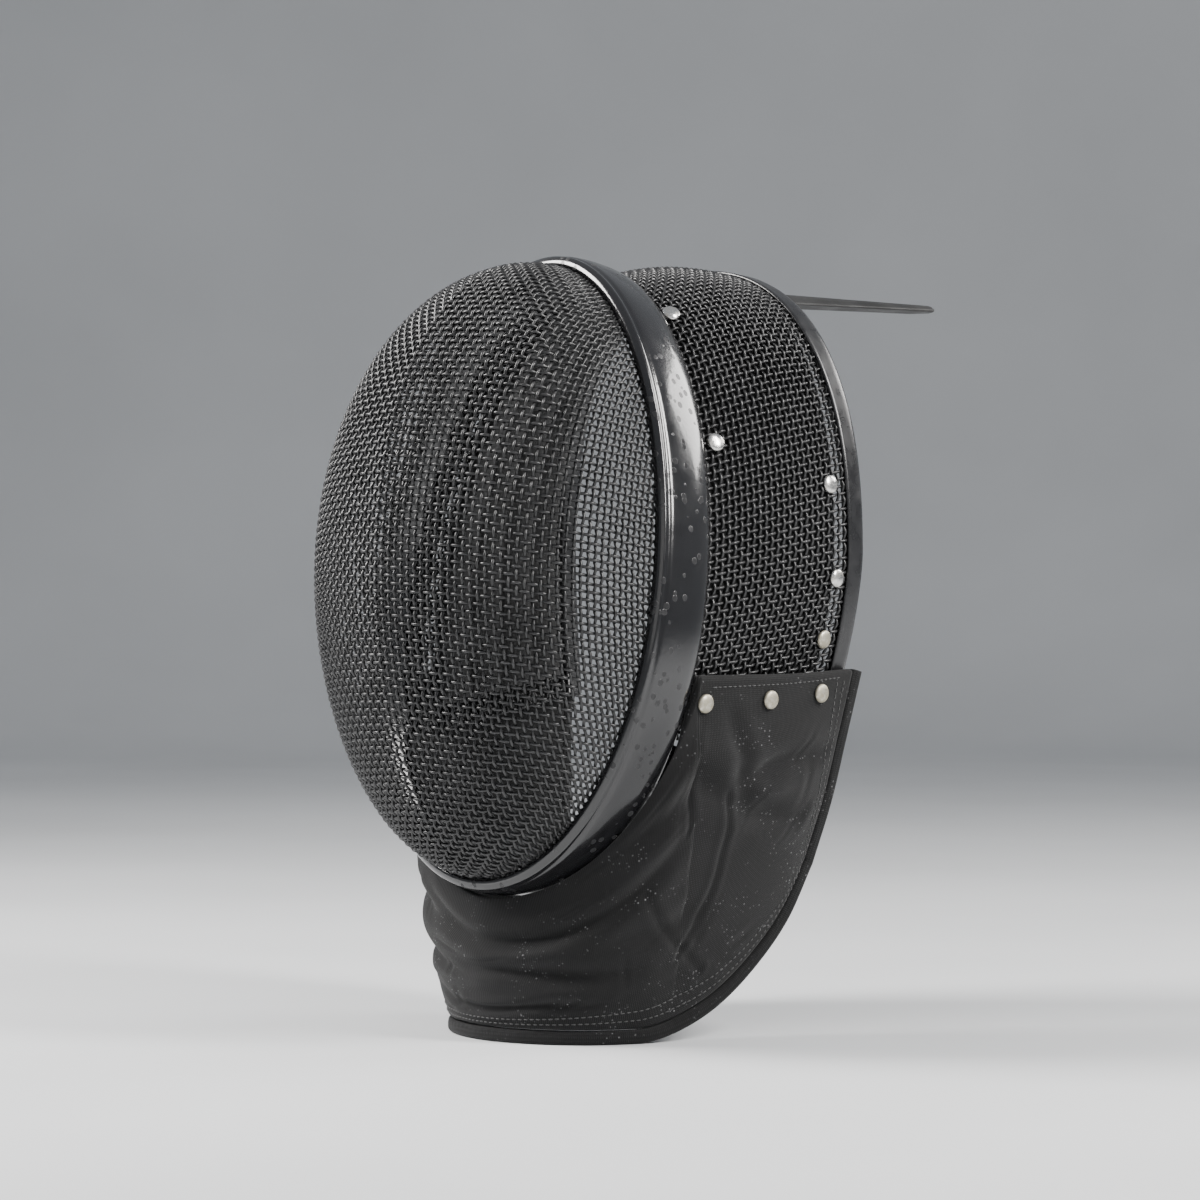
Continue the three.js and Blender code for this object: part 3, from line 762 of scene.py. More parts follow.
crown_points, crown_normals, crown_present, row0, column0 = crown_lattice(0.9 * MM)
arches, lengthwise = weave(crown_points, crown_normals, crown_present, row0, column0)
crown_weft = finished(woven_set("crown_weft_wires", arches), WIRE, "wire", "crown_mesh")
crown_warp = finished(woven_set("crown_warp_wires", lengthwise), WIRE, "wire", "crown_mesh")
print("hood wires:", len(arches), "arches and", len(lengthwise), "lengthwise")

# %% [markdown]
# ## The band, the edging and the tongue
#
# The band is one moulding pushed over the meeting edges of the two meshes.  Its section is a flat
# back with a rounded front and a thin lip along the front edge, carried round the oval.  The
# edging is a springy channel on the hood's back edge.  The tongue is a strip of spring steel in a
# tight cover, fixed under the hood's top, and it holds the mask on by pressing on the nape.


# %% The band
def band_surface():
    """A section carried round the oval: across it runs a super-ellipse of exponent 2.6, and the
    front lip is a bead that stands a little off the rounded face."""
    lip, roundness = 1.2 * MM, 2.6
    turn = np.linspace(0, math.pi, 40)
    along, rise = np.cos(turn), np.sin(turn)
    ahead = BAND_WIDTH / 2 * (np.sign(along) * np.abs(along) ** (2 / roundness) - 1)
    out = GAP + lip + (BAND_PROUD - lip - GAP) * rise ** (2 / roundness)
    bead = 0.45 * MM * np.exp(-(((ahead + 2.1 * MM) / (0.7 * MM)) ** 2))
    groove = -0.6 * MM * np.exp(-(((ahead + 4.6 * MM) / (0.8 * MM)) ** 2))
    out = out + bead + groove
    flat = np.linspace(-BAND_WIDTH, 0, 14)
    section_ahead = np.r_[ahead, flat]
    section_out = np.r_[out, np.full(14, GAP)]
    angle = np.linspace(0, 2 * math.pi, 280, endpoint=False)
    rings = rim_point(angle[:, None], section_ahead[None], section_out[None])
    return tube_surface("rim_band_moulding", rings, closed=True)


band = finished(band_surface(), BAND, "band", "rim_band")
print("band faces:", len(band.data.polygons))


# %% The edging
def crown_edge(angle):
    """Places on the hood's back edge, with the way straight off the edge and the way out of the
    wall, which is square to both the edge and the first."""
    here = crown_surface(angle, 1.0)
    off = unit(here - crown_surface(angle, 0.94))
    run = unit(crown_surface(angle + 0.01, 1.0) - crown_surface(angle - 0.01, 1.0))
    return here, off, unit(np.cross(run, off))


def edging_surface():
    """A bent channel: out along one leg, round the bend and back, then the slot inside it."""
    width, leg, base = 12 * MM, 1.6 * MM, 2.4 * MM
    inner = CROWN_WALL + GAP
    middle = -CROWN_WALL / 2
    outer = [
        (base - width, GAP + 0.5 * leg), (base - width + 0.4 * MM, GAP + 0.9 * leg),
        (base - width + 2 * MM, GAP + leg), (-3 * MM, GAP + leg + 0.15 * MM),
        (-1 * MM, GAP + leg + 0.3 * MM), (base * 0.45, GAP + leg * 0.95),
        (base * 0.85, leg * 0.45), (base, middle),
    ]
    mirrored = [(off, -CROWN_WALL - out) for off, out in outer[-2::-1]]
    slot = [(base - width, -inner), (-5 * MM, -inner), (GAP, -inner), (GAP, middle)]
    back = [(off, 2 * middle - out) for off, out in slot[-2::-1]]
    section = np.array(outer + mirrored + slot + back)
    angle = np.linspace(-CROWN_REACH, CROWN_REACH, 260)
    here, off, out = crown_edge(angle)
    rings = here[:, None] + section[:, :1] * off[:, None] + section[:, 1:] * out[:, None]
    return tube_surface("rear_edging", rings)


edging = finished(edging_surface(), EDGING, "edge", "rear_edge_binding")


# %% The tongue and its seam
def tongue_surface():
    """A strip whose width, arch and thickness change evenly from root to tip.  Its section is a
    flattened oval bent into a shallow arch, and its tip is a quarter round."""
    length, round_end = TONGUE_TIP_Y - TONGUE_ROOT_Y, 9 * MM
    nose = round_end / length
    end = 1 - nose * (1 - np.sin(np.linspace(0.05, math.pi / 2, 14)))
    share = np.r_[np.linspace(0, 1 - nose, 110), end]
    mix = lambda low, high: (low + (high - low) * share)[:, None] * MM
    near_tip = np.minimum((1 - share) * length / round_end, 1)
    rounding = np.maximum(np.sqrt(1 - (1 - near_tip) ** 2), 0.3)[:, None]
    turn = np.linspace(0, 2 * math.pi, 48, endpoint=False)
    across, rise = np.cos(turn)[None], np.sin(turn)[None]
    half = mix(32, 19) / 2 * rounding
    thick = mix(5, 4.4)
    body = np.sign(rise) * np.abs(rise) ** 0.55
    seam = 0.35 * MM * np.exp(-(((np.abs(across) - 0.86) / 0.035) ** 2)) * (rise > 0)
    height = mix(387, 388.5) - mix(5.5, 1.2) * across**2 * rounding - thick / 2
    z = height + body * (0.96 * thick / 2) * (0.5 + 0.5 * np.sqrt(1 - across**4)) - seam
    y = np.broadcast_to(LIP_Y + TONGUE_ROOT_Y + length * share[:, None], z.shape)
    return tube_surface("tongue_strip", np.stack([half * across, y, z], axis=2))


tongue = finished(tongue_surface(), COVER, "tongue", "tongue")
print("tongue faces:", len(tongue.data.polygons))

# %% [markdown]
# ## The bib
#
# The bib is two layers of cloth with a thin foam between, cut so that its top follows the rim
# round the chin and then runs straight back, and its foot stands level.  A place on it is given
# by *along*, from -1 at the right back edge to 1 at the left one, and *down*, from 0 at the top
# to 1 at the hem.  Its large shape joins a top line to a foot line; folds and wrinkles are then
# raised and sunk along lines on that map.

# %% The outlines
HEM = [
    (0, -18, 0), (27, -12.5, 0), (50, 3, 0), (64, 26, 0), (70, 46, 4),
    (76, 69, 15), (81.5, 91, 33), (87, 111, 57), (92, 125, 86),
]
BACK_EDGE = [(92, 125, 86), (98, 133, 118), (103, 138, 148), (106, 143, 172), (107, 146, 184)]
TOP_EDGE = [(103.8, 29, 184), (106.6, 58, 184), (107.6, 98, 184), (107, 138.7, 185.5)]
BIB_WALL = 6 * MM
BORDER_HEIGHT = 7 * MM
SIDE_SHARE = 0.46
CLIMB_ANGLE = math.radians(70)
CHIN_AHEAD = -10 * MM
TUCKED_AHEAD = -29 * MM
SIDE_AHEAD = -37.5 * MM
UNDER_BAND = 7.5 * MM
CHIN_ROUNDING = 0.08
SAMPLES = 401

whole_hem = [(-x, y, z) for x, y, z in HEM[:0:-1]] + HEM
hem_line = spline(np.array(whole_hem) * MM, 2 * SAMPLES - 1)[SAMPLES - 1 :]
back_line = spline(np.array(BACK_EDGE) * MM, SAMPLES)
top_line = spline(np.array(TOP_EDGE) * MM, SAMPLES)
for line in (hem_line, back_line, top_line):
    line[:, 1] += LIP_Y
hem_line[:, 2] = np.maximum(hem_line[:, 2], 0)


def along_line(line, share):
    """Places at shares from 0 to 1 of a line of evenly spaced points."""
    where = np.clip(share, 0, 1) * (len(line) - 1)
    return np.stack([np.interp(where, np.arange(len(line)), line[:, k]) for k in range(3)], -1)


def bib_outward(share):
    """Straight ahead at the middle of the front, turning evenly to straight sideways."""
    facing = math.pi / 2 * np.minimum(share / 0.55, 1)
    return np.stack([np.sin(facing), -np.cos(facing), np.zeros_like(facing)], axis=-1)


def edge_frame(line, share):
    """A free edge's places, the way out of the cloth, and the way up into it."""
    here = along_line(line, share)
    run = unit(along_line(line, share + 0.01) - along_line(line, share - 0.01))
    out = bib_outward(share if line is hem_line else np.ones_like(share))
    return here, out, unit(np.cross(out, run))


def cloth_edge(line, share, depth):
    here, out, into = edge_frame(line, share)
    return here + into * (BORDER_HEIGHT + GAP) - out * (depth * BIB_WALL)[..., None]


def bib_top(share, depth):
    """The top line: under the band round from the chin, then along the straight top edge."""
    climb = np.clip(share / SIDE_SHARE, 0, 1)
    angle = math.pi - CLIMB_ANGLE * climb**0.9
    full = math.hypot(1, CHIN_ROUNDING) - CHIN_ROUNDING
    eased = (np.hypot(climb, CHIN_ROUNDING) - CHIN_ROUNDING) / full
    ahead = CHIN_AHEAD + (SIDE_AHEAD - CHIN_AHEAD) * eased**0.8
    behind = 1 - smooth_step(SIDE_AHEAD, TUCKED_AHEAD, ahead)
    back = depth * (BIB_WALL + MM) * (1 - behind)
    under = rim_point(angle, ahead - back, UNDER_BAND - depth * BIB_WALL * behind)
    past = np.clip((share - SIDE_SHARE) / (1 - SIDE_SHARE), 0, 1)
    straight = along_line(top_line, past) - bib_outward(share) * (depth * BIB_WALL)[..., None]
    return np.where((share >= SIDE_SHARE)[..., None], straight, under)


# %% [markdown]
# ### Folds and wrinkles
#
# A fold is a rounded ridge beside a sharper groove along a bent line.  Main folds are the ones
# that a worn bib keeps.  Small wrinkles are seeded, so that they are the same every time, and lie
# near the seams, where stitching gathers the cloth.

# %% Fold lines on the map
FOLDS = [  # lines as (along, down) points, depth in mm, and width on the map
    ([(0.47, 0.30), (0.62, 0.33), (0.78, 0.32), (0.93, 0.37)], 3.6, 0.040),
    ([(0.42, 0.24), (0.56, 0.38), (0.70, 0.47), (0.86, 0.58)], 3.0, 0.036),
    ([(0.20, 0.10), (0.33, 0.20), (0.43, 0.31), (0.52, 0.42)], 2.6, 0.040),
    ([(-0.12, 0.24), (0.06, 0.36), (0.24, 0.42), (0.42, 0.40)], 3.6, 0.050),
    ([(0.00, 0.54), (0.10, 0.60), (0.20, 0.69), (0.30, 0.76)], 2.8, 0.042),
    ([(-0.20, 0.80), (-0.02, 0.86), (0.14, 0.84), (0.26, 0.88)], 1.6, 0.030),
    ([(0.30, 0.60), (0.40, 0.66), (0.50, 0.70)], 1.8, 0.034),
    ([(0.56, 0.12), (0.60, 0.26), (0.62, 0.42)], 1.4, 0.026),
    ([(-0.90, 0.34), (-0.70, 0.30), (-0.50, 0.30)], 3.2, 0.040),
    ([(-0.48, 0.54), (-0.30, 0.42), (-0.10, 0.30)], 3.2, 0.050),
    ([(-0.84, 0.60), (-0.66, 0.48), (-0.46, 0.26)], 2.4, 0.036),
    ([(-0.34, 0.70), (-0.20, 0.62), (-0.04, 0.60)], 2.2, 0.040),
]
SEAMS = [  # the joins between the bib's panels, drawn on the map
    [(0.565, 0.36), (0.555, 0.48), (0.545, 0.60), (0.50, 0.72), (0.455, 0.80)],
    [(0.335, 0.46), (0.37, 0.58), (0.41, 0.68), (0.46, 0.78), (0.53, 0.88)],
    [(-0.565, 0.36), (-0.555, 0.48), (-0.545, 0.60), (-0.50, 0.72), (-0.455, 0.80)],
    [(-0.335, 0.46), (-0.37, 0.58), (-0.41, 0.68), (-0.46, 0.78), (-0.53, 0.88)],
    [(0.455, 0.30), (0.45, 0.40)],
]


def distance_to_line(along, down, line):
    """The least distance on the map to a bent line, how far along it that is from 0 to 1, and
    on which side the place lies."""
    path = spline(line, 40)
    best = np.full(along.shape, 9.0)
    place, side = np.zeros(along.shape), np.zeros(along.shape)
    for k in range(len(path) - 1):
        run = path[k + 1] - path[k]
        off_a, off_d = along - path[k, 0], (down - path[k, 1])
        held = np.clip((off_a * run[0] + off_d * run[1]) / (run @ run), 0, 1)
        apart = np.hypot(off_a - held * run[0], off_d - held * run[1])
        nearer = apart < best
        best = np.where(nearer, apart, best)
        place = np.where(nearer, (k + held) / (len(path) - 1), place)
        side = np.where(nearer, np.sign(off_a * run[1] - off_d * run[0]), side)
    return best, place, side


def fold_height(along, down):
    """All the folds' relief in metres: a groove with a softer ridge on each side, fading out
    towards the fold's ends."""
    total = np.zeros(along.shape)
    for line, depth, width in FOLDS:
        apart, place, side = distance_to_line(along, down, line)
        fade = np.sin(math.pi * np.clip(0.08 + 0.84 * place, 0, 1)) ** 0.6
        groove = np.exp(-((apart / width) ** 2))
        ridge = 0.55 * np.exp(-(((apart - 1.9 * width) / (1.2 * width)) ** 2))
        total += depth * MM * fade * (ridge - groove)
    return total


def wrinkle_height(along, down, seed=7):
    """Small wrinkles: short grooves at random places, mostly near the seams and the hem."""
    rng = np.random.default_rng(seed)
    total = np.zeros(along.shape)
    for _ in range(90):
        a, d = rng.uniform(-0.95, 0.95), rng.beta(1.6, 1.1)
        turn = rng.normal(0.35 * np.sign(a), 0.7)
        run = np.array([math.cos(turn), math.sin(turn)])
        long, wide = rng.uniform(0.03, 0.09), rng.uniform(0.008, 0.018)
        off_a, off_d = along - a, down - d
        lengthwise = (off_a * run[0] + off_d * run[1]) / long
        across = (-off_a * run[1] + off_d * run[0]) / wide
        near = np.exp(-(lengthwise**2)) * rng.uniform(0.3, 1.0)
        total += 0.55 * MM * near * (0.6 * np.exp(-((np.abs(across) - 1.7) ** 2)) - np.exp(-(across**2)))
    return total


def seam_height(along, down):
    """A join is a narrow valley between two plump edges."""
    total = np.zeros(along.shape)
    for line in SEAMS:
        apart, _, _ = distance_to_line(along, down, line)
        total += 0.35 * MM * np.exp(-(((apart - 0.02) / 0.011) ** 2))
        total -= 0.8 * MM * np.exp(-((apart / 0.0085) ** 2))
    return total


# %% The padded sheet
def bib_surface(along, down, depth, relief=0.0):
    """A place of the bib: the top line blended to the foot line, the back edge's own curve added
    more and more towards the back, then swollen outwards by a half sine and by the relief."""
    along, down, depth = (np.asarray(v, float) for v in np.broadcast_arrays(along, down, depth))
    share = np.abs(along)
    top, foot = bib_top(share, depth), cloth_edge(hem_line, share, depth)
    place = top + (foot - top) * down[..., None]
    one = np.ones_like(share)
    edge = cloth_edge(back_line, 1 - down, depth)
    corner_top, corner_foot = bib_top(one, depth), cloth_edge(hem_line, one, depth)
    straight = corner_top + (corner_foot - corner_top) * down[..., None]
    place = place + (edge - straight) * (share**6)[..., None]
    loose = np.sin(math.pi * np.clip(down, 0, 1))
    held = smooth_step(0, 0.3, loose)
    swell = 4.5 * MM * loose * (1 - share**8) + relief * held * (1 - share**12)
    place = place + bib_outward(share) * np.asarray(swell)[..., None]
    place[..., 0] *= np.where(along < 0, -1, 1)
    return place


BIB_COLUMNS, BIB_ROWS = 380, 108
bib_along, bib_down = np.meshgrid(
    np.linspace(-1, 1, BIB_COLUMNS), np.linspace(0, 1, BIB_ROWS), indexing="ij"
)
relief = fold_height(bib_along, bib_down) + wrinkle_height(bib_along, bib_down)
relief += seam_height(bib_along, bib_down)
rim_round = 1 - np.minimum(np.minimum(bib_down, 1 - bib_down) / 0.02, 1)
edge_in = 0.5 * (1 - np.sqrt(1 - np.clip(rim_round, 0, 1) ** 2 * 0.999))
bib_outer = bib_surface(bib_along, bib_down, edge_in, relief)
bib_inner = bib_surface(bib_along, bib_down, 1 - edge_in, 0.6 * relief)


def bib_sheet():
    """Outer face down each column and inner face back up it, as one ring, with the ends closed.
    The UV map gives metres along the hem and down the cloth, for the threads of the weave."""
    rings = np.concatenate([bib_outer, bib_inner[:, ::-1]], axis=1)
    rows, size = rings.shape[:2]
    faces = grid_faces(rows, size, wrap_columns=True)
    flip = outward_volume(rings, faces) < 0
    faces = faces[:, ::-1] if flip else faces
    ends = []
    for row, turned in ((0, flip), (rows - 1, not flip)):
        index = row * size + np.arange(size)
        half = size // 2
        outer_line, inner_line = index[:half], index[: half - 1 : -1]
        cap = np.stack([outer_line[:-1], outer_line[1:], inner_line[1:], inner_line[:-1]], 1)
        ends.append(cap[:, ::-1] if turned else cap)
    faces = np.vstack([faces, *ends])
    piece = make_object("bib_padded_cloth", rings, faces.tolist())
    u = np.broadcast_to(np.linspace(-1, 1, rows)[:, None] * 0.235, (rows, size))
    down = np.r_[np.linspace(0, 1, size // 2), np.linspace(1, 0, size // 2)]
    v = np.broadcast_to(down * 0.17, (rows, size))
    set_uv(piece, np.stack([u, v], axis=2).reshape(-1, 2))
    return piece


def set_uv(piece, per_point):
    """A UV map in metres from one pair for each point of a piece."""
    layer = piece.data.uv_layers.new(name="metres")
    corners = np.empty(len(piece.data.loops), int)
    piece.data.loops.foreach_get("vertex_index", corners)
    layer.data.foreach_set("uv", per_point[corners].astype(np.float32).ravel())


bib = finished(bib_sheet(), BIB_CLOTH, "cloth", "bib")
print("bib faces:", len(bib.data.polygons))

# %% [markdown]
# ### The tucked edge
#
# The cloth's top does not stop at the band.  A binding tape sewn to it passes up inside the band,
# so no light comes through the joint between them.


# %% The tape inside the band
def tucked_tape():
    """A thin strip with rounded edges, carried round the lower part of the oval just inside the
    band, from one foot of the hood to the other.  It is wider at the sides, where it flares out
    behind the band to meet the cloth."""
    first, last = math.radians(121.6), math.radians(238.4)
    front_edge = -20.5 * MM
    middle_out, half_thick = -1.7 * MM, 0.6 * MM
    turn = np.linspace(0, 2 * math.pi, 28, endpoint=False)
    across = np.sign(np.cos(turn)) * np.abs(np.cos(turn)) ** 0.5
    angle = np.linspace(first, last, 160)[:, None]
    ripple = 0.15 * MM * np.sin(angle * 70) * np.cos(turn)
    to_the_side = np.abs(angle - math.pi) / (last - math.pi)
    width = (20 + 17 * smooth_step(0.3, 0.75, to_the_side)) * MM
    ahead = front_edge - width * (1 - across[None]) / 2 + ripple
    flare = 0.2 * np.maximum(-38 * MM - ahead, 0)
    rings = rim_point(angle, ahead, middle_out + flare + half_thick * np.sin(turn)[None])
    piece = tube_surface("bib_tucked_tape", rings)
    u = np.broadcast_to(angle * 0.13, ahead.shape)
    set_uv(piece, np.stack([u, ahead], axis=2).reshape(-1, 2))
    return piece


tape = finished(tucked_tape(), BIB_CLOTH, "cloth", "bib")
print("tape faces:", len(tape.data.polygons))

# %% [markdown]
# ### The turned border
#
# The free edge is folded over a cord and stitched down.  Its section is a rounded strip, carried
# along the hem and up both back edges.


# %% The border
def border_path():
    """The whole free edge from the right back corner to the left one, with its two ways."""
    frames = []
    for line, start, count in ((hem_line, 0.0, 210), (back_line, 1 / 80, 80)):
        share = np.linspace(start, 1, count)
        frames.append(edge_frame(line, share))
    here, out, into = (np.vstack(parts) for parts in zip(*frames))
    flip = np.array([-1.0, 1.0, 1.0])
    whole = [np.vstack([(part * flip)[:0:-1], part]) for part in (here, out, into)]
    return whole


def border_surface():
    """A rounded box section: a super-ellipse of exponent 4, pinched a little where it is sewn."""
    here, out, into = border_path()
    turn = np.linspace(0, 2 * math.pi, 36, endpoint=False)
    along, rise = np.cos(turn), np.sin(turn)
    bend = lambda value: np.sign(value) * np.abs(value) ** 0.5
    middle = BORDER_HEIGHT / 2
    into_share = middle + middle * bend(along)
    thick = BIB_WALL / 2 + 0.7 * MM
    out_share = -BIB_WALL / 2 + thick * bend(rise)
    length = np.r_[0, np.linalg.norm(np.diff(here, axis=0), axis=1).cumsum()]
    pucker = 0.22 * MM * np.sin(length / (4.6 * MM) * math.pi) ** 2
    wave = 0.25 * MM * np.sin(length / (31 * MM) * math.pi * 2 + np.sin(length / (57 * MM) * math.pi))
    sewn = np.exp(-(((into_share - 0.8 * BORDER_HEIGHT) / (1.1 * MM)) ** 2))
    draw = (wave - pucker)[:, None] * sewn[None] * np.sign(out_share + BIB_WALL / 2)[None]
    out_all = out_share[None] + draw
    rings = here[:, None] + into_share[None, :, None] * into[:, None] + out_all[..., None] * out[:, None]
    piece = tube_surface("bib_border_strip", rings)
    u = np.broadcast_to(length[:, None], out_all.shape)
    v = np.broadcast_to(turn[None] * 4 * MM, out_all.shape)
    set_uv(piece, np.stack([u, v], axis=2).reshape(-1, 2))
    return piece


border = finished(border_surface(), BORDER_CLOTH, "border", "bib_border")
print("border faces:", len(border.data.polygons))

# %% [markdown]
# ### Stitches
#
# Seams are sewn in two rows of lockstitch.  A stitch is a short, plump bead of thread that sinks
# at both ends, and thousands of them are one mesh of a few faces each.


# %% Rows of stitches
STITCH_LENGTH, STITCH_PITCH, THREAD_RADIUS = 2.4 * MM, 3.3 * MM, 0.34 * MM


def stitch_row(path, outward):
    """Bead-shaped stitches along a path: rings whose radius is the root of a half sine, laid
    every pitch, and lifted off the cloth by half a thread."""
    length = np.r_[0, np.linalg.norm(np.diff(path, axis=0), axis=1).cumsum()]
    start = np.arange(0.5 * STITCH_PITCH, length[-1] - STITCH_LENGTH, STITCH_PITCH)
    share = np.linspace(0, 1, 5)
    where = start[:, None] + STITCH_LENGTH * share[None]
    middle = np.stack([np.interp(where, length, path[:, k]) for k in range(3)], -1)
    out = unit(np.stack([np.interp(where, length, outward[:, k]) for k in range(3)], -1))
    run = unit(np.gradient(middle, axis=1))
    side = unit(np.cross(run, out))
    plump = np.maximum(np.sqrt(np.sin(math.pi * np.clip(share, 0.02, 0.98))), 0.2)
    middle = middle + out * (THREAD_RADIUS * (0.9 * plump - 0.35))[None, :, None]
    turn = np.linspace(0, 2 * math.pi, 5, endpoint=False)
    ring = np.cos(turn)[:, None] * side[..., None, :] + np.sin(turn)[:, None] * out[..., None, :]
    return middle[..., None, :] + ring * (THREAD_RADIUS * plump)[None, :, None, None]


def stitches_object(name, rows):
    """All the stitches of some rows as one mesh of closed beads."""
    beads = np.vstack(rows)
    count, rings, sides = beads.shape[:3]
    faces = grid_faces(rings, sides, wrap_columns=True)
    flip = outward_volume(beads[0], faces) < 0
    faces = faces[:, ::-1] if flip else faces
    near = np.arange(sides)
    far = near + (rings - 1) * sides
    caps = np.stack([near[::-1], far]) if flip else np.stack([near, far[::-1]])
    shift = (np.arange(count) * rings * sides)[:, None, None]
    quads = (faces[None] + shift).reshape(-1, 4).tolist()
    ends = (caps[None] + shift).reshape(-1, sides).tolist()
    return make_object(name, beads, quads + ends)


def map_path(line, aside, steps=240):
    """A line on the bib's map moved aside by a distance in metres, as places and outward ways
    on the cloth."""
    path = spline(line, steps)
    here = cloth_place(path)
    run = unit(np.gradient(here, axis=0))
    out = cloth_outward(path)
    side = unit(np.cross(out, run))
    return here + aside * side, out


def cloth_place(path):
    """Places on the padded cloth's outer face, read from its grid between the four nearest."""
    a = np.clip((path[:, 0] + 1) / 2 * (BIB_COLUMNS - 1), 0, BIB_COLUMNS - 1.001)
    d = np.clip(path[:, 1] * (BIB_ROWS - 1), 0, BIB_ROWS - 1.001)
    i, j = a.astype(int), d.astype(int)
    u, v = (a - i)[:, None], (d - j)[:, None]
    low = bib_outer[i, j] * (1 - u) + bib_outer[i + 1, j] * u
    high = bib_outer[i, j + 1] * (1 - u) + bib_outer[i + 1, j + 1] * u
    return low * (1 - v) + high * v


def cloth_outward(path):
    """The cloth's own outward way at places on the map, by small steps both ways."""
    step = np.array([0.008, 0.0]), np.array([0.0, 0.02])
    a = cloth_place(path + step[0]) - cloth_place(path - step[0])
    d = cloth_place(path + step[1]) - cloth_place(path - step[1])
    normal = unit(np.cross(a, d))
    out = bib_outward(np.abs(path[:, 0]))
    out[:, 0] *= np.where(path[:, 0] < 0, -1, 1)
    return normal * np.sign(np.einsum("ij,ij->i", normal, out))[:, None]


SEAM_ASIDE = 2.6 * MM
rows = []
for line in SEAMS:
    for aside in (-SEAM_ASIDE, SEAM_ASIDE):
        rows.append(stitch_row(*map_path(line, aside)))
for down in (0.965, 0.93):
    line = np.stack([np.linspace(-0.965, 0.965, 40), np.full(40, down)], 1)
    rows.append(stitch_row(*map_path(line, 0.0, 900)))
for sign in (-1, 1):
    for along in (0.972, 0.945):
        line = np.stack([np.full(12, sign * along), np.linspace(0.04, 0.95, 12)], 1)
        rows.append(stitch_row(*map_path(line, 0.0, 300)))
    top = np.stack([sign * np.linspace(0.49, 0.965, 12), np.full(12, 0.035)], 1)
    rows.append(stitch_row(*map_path(top, 0.0, 300)))
cloth_stitches = finished(stitches_object("bib_stitches", rows), THREAD, "cloth")
print("stitches:", sum(len(row) for row in rows))

# %% [markdown]
# ## The lining
#
# A soft pad follows the inside of the hood and stops short of its front and back.  Quilting lines
# hold its foam in place: between them the cloth rises like small pillows.


# %% The quilted pad
PAD_THICKNESS = 8 * MM
PAD_CLEAR = 0.6 * MM
PAD_REACH = math.radians(116)
PAD_NOTCH = 0.2
PAD_NOTCH_ANGLE = math.radians(15)
PAD_FRONT, PAD_BACK = 0.13, 0.88
QUILT_ACROSS, QUILT_ALONG = 9, 4


def pad_surface():
    """The hood's formula moved inwards, with a pillow between quilting lines: the relief is the
    root of the product of two sines' sizes, and it fades to a rounded edge all round."""
    rows, columns = 240, 64
    angle = np.linspace(-PAD_REACH, PAD_REACH, rows)[:, None]
    share = np.linspace(0, 1, columns)[None]
    cut = PAD_NOTCH * np.exp(-((angle / PAD_NOTCH_ANGLE) ** 4))
    back = PAD_FRONT + (PAD_BACK - cut - PAD_FRONT) * share
    outside, thick = CROWN_WALL + PAD_CLEAR, PAD_THICKNESS
    across = np.abs(np.sin(angle / PAD_REACH * math.pi * QUILT_ACROSS))
    lines = across * np.abs(np.sin(share * math.pi * QUILT_ALONG))
    pillow = np.clip(lines, 0, 1) ** 0.35
    margin = np.minimum(np.minimum(share, 1 - share) * 14, (1 - np.abs(angle) / PAD_REACH) * 40)
    edge = np.sqrt(1 - (1 - np.clip(margin, 0, 1)) ** 2)
    full = thick * edge * (0.62 + 0.38 * pillow)
    half = thick / 2
    outer = crown_surface(angle, back, outside + half * (1 - edge))
    inner = crown_surface(angle, back, outside + np.maximum(half * (1 - edge) + full, 0.2 * MM))
    rings = np.concatenate([outer, inner[:, ::-1]], axis=1)
    piece = tube_surface("quilted_lining", rings)
    size = rings.shape[1]
    u = np.broadcast_to(angle * 0.13, (rows, size))
    across = np.r_[np.linspace(0, 1, columns), np.linspace(1, 0, columns)]
    v = np.broadcast_to(across * 0.09, (rows, size))
    set_uv(piece, np.stack([u, v], axis=2).reshape(-1, 2))
    return piece


lining = finished(pad_surface(), LINING_CLOTH, "lining", "inner_pad")
print("lining faces:", len(lining.data.polygons))
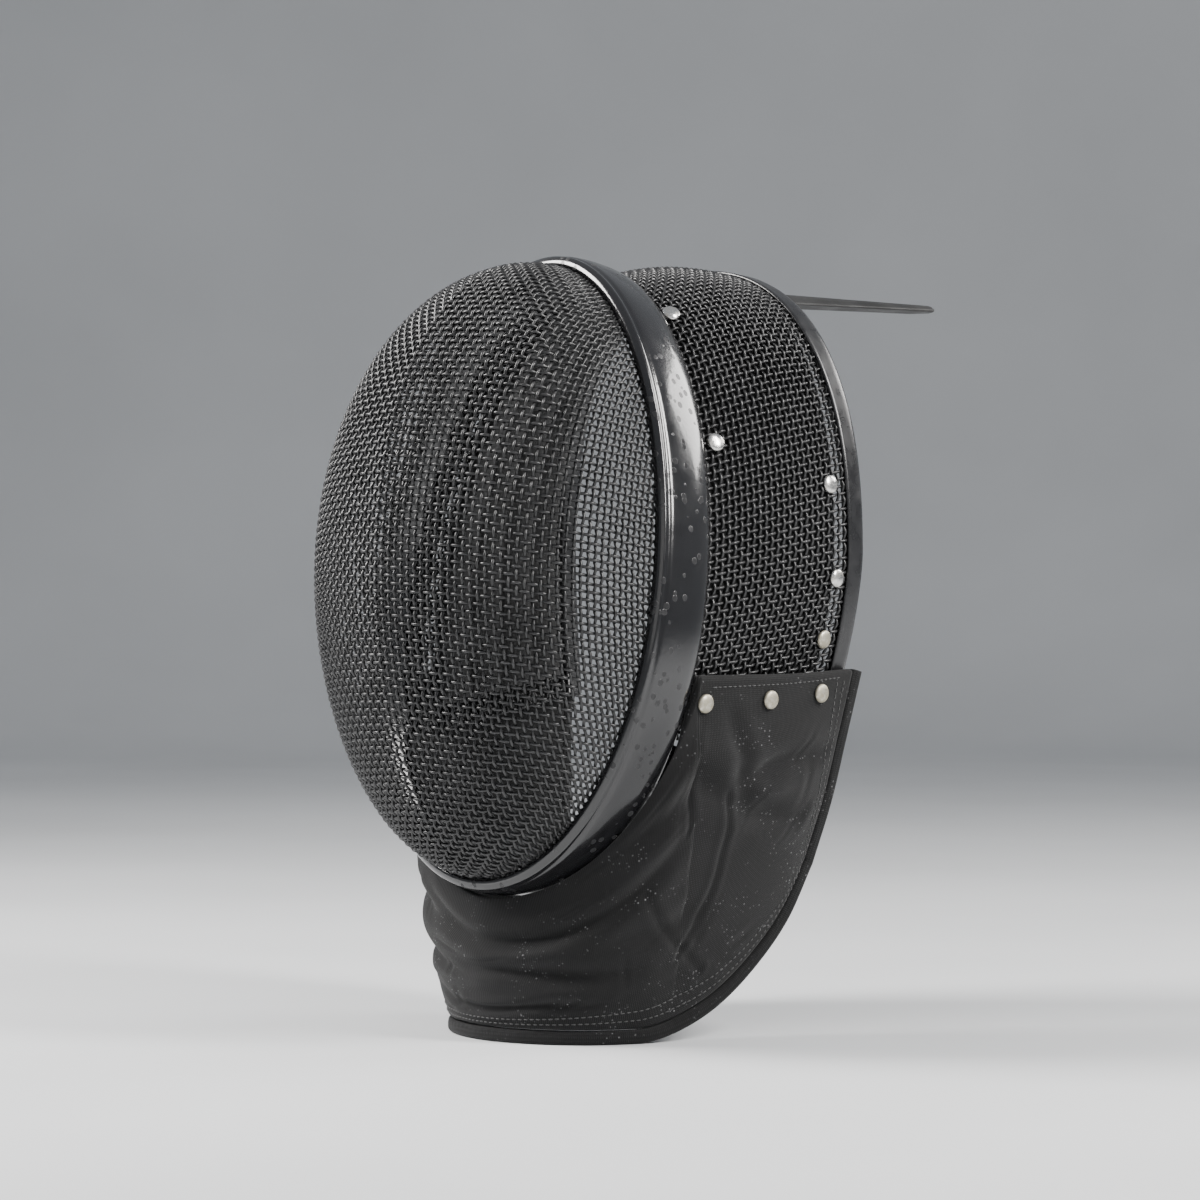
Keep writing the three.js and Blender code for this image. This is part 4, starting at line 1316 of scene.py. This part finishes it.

# %% [markdown]
# ## Rivets
#
# Domed tubular rivets fix the edging, the lining and the bib to the hood.  The upper ones are
# bright; those on the bib and low on the hood are dull with wear.  Each head is a profile turned
# about its axis and seated on the hood or the bib, square to its surface.

# %% Turned heads
RIVET_PLACES = [
    ("brow", math.radians(30.5), 0.195, "hood"), ("temple", math.radians(64.5), 0.2, "hood"),
    ("rear_upper", math.radians(78), 0.82, "hood"), ("rear_middle", math.radians(94), 0.86, "hood"),
    ("rear_lower", math.radians(106), 0.84, "hood"), ("bib_front", 0.475, 0.08, "bib"),
    ("bib_middle", 0.69, 0.085, "bib"), ("bib_rear", 0.88, 0.09, "bib"),
]
WORN = ("rear_lower", "bib_front", "bib_middle", "bib_rear")


def seat(sign, a, b, on):
    """A seat's place and its way out: square to the surface, found by small steps both ways."""
    plain = lambda u, v: crown_surface(sign * u, v) if on == "hood" else bib_surface(sign * u, v, 0.0)
    step = 0.02
    along = plain(a + step, b) - plain(a - step, b)
    across = plain(a, b + step) - plain(a, b - step)
    out = unit(np.cross(along, across))
    here = plain(np.float64(a), np.float64(b))
    return here, out * (1 if out[0] * here[0] > 0 else -1)


def rivet_head(name, here, out):
    """A dome of a quarter ellipse over a thin rolled flange, turned about the way out.  A small
    flat closes it at the top."""
    radius, height, edge, stand_off = 4.8 * MM, 2.4 * MM, 0.8 * MM, 0.35 * MM
    turn = np.linspace(math.pi / 2, 0.12, 14)
    rise = edge + (height - edge) * np.cos(turn)
    flange = np.array([[0.94, 0.0], [1.0, 0.12], [1.0, 0.55]]) * [radius, edge]
    dome = np.stack([0.97 * radius * np.sin(turn), rise], 1)
    dome[0] = (0.985 * radius, edge)
    profile = np.vstack([flange, dome])
    around = np.linspace(0, 2 * math.pi, 40, endpoint=False)
    side = unit(np.cross(out, [0, 0, 1.0]))
    up = np.cross(out, side)
    ring = np.cos(around)[:, None] * side + np.sin(around)[:, None] * up
    seat_point = here + out * (GAP + stand_off)
    rings = seat_point + profile[:, :1, None] * ring[None] + profile[:, 1:, None] * out
    return tube_surface(name, rings)


for side_name, sign in (("left", 1), ("right", -1)):
    for name, a, b, on in RIVET_PLACES:
        head = rivet_head(f"rivet_{side_name}_{name}_head", *seat(sign, a, b, on))
        steel = WORN_STEEL if name in WORN else BRIGHT_STEEL
        finished(head, steel, "rivet", f"rivet_{side_name}_{name}")
print("rivets:", 2 * len(RIVET_PLACES))

# %% [markdown]
#
# The differences between the box that the looks fill and the box of the solids are printed.


seen_low, seen_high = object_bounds()
pairs = zip((*cad_low, *cad_high), (*seen_low, *seen_high))
print("differences in mm:", [round((cad - seen) / MM, 1) for cad, seen in pairs])
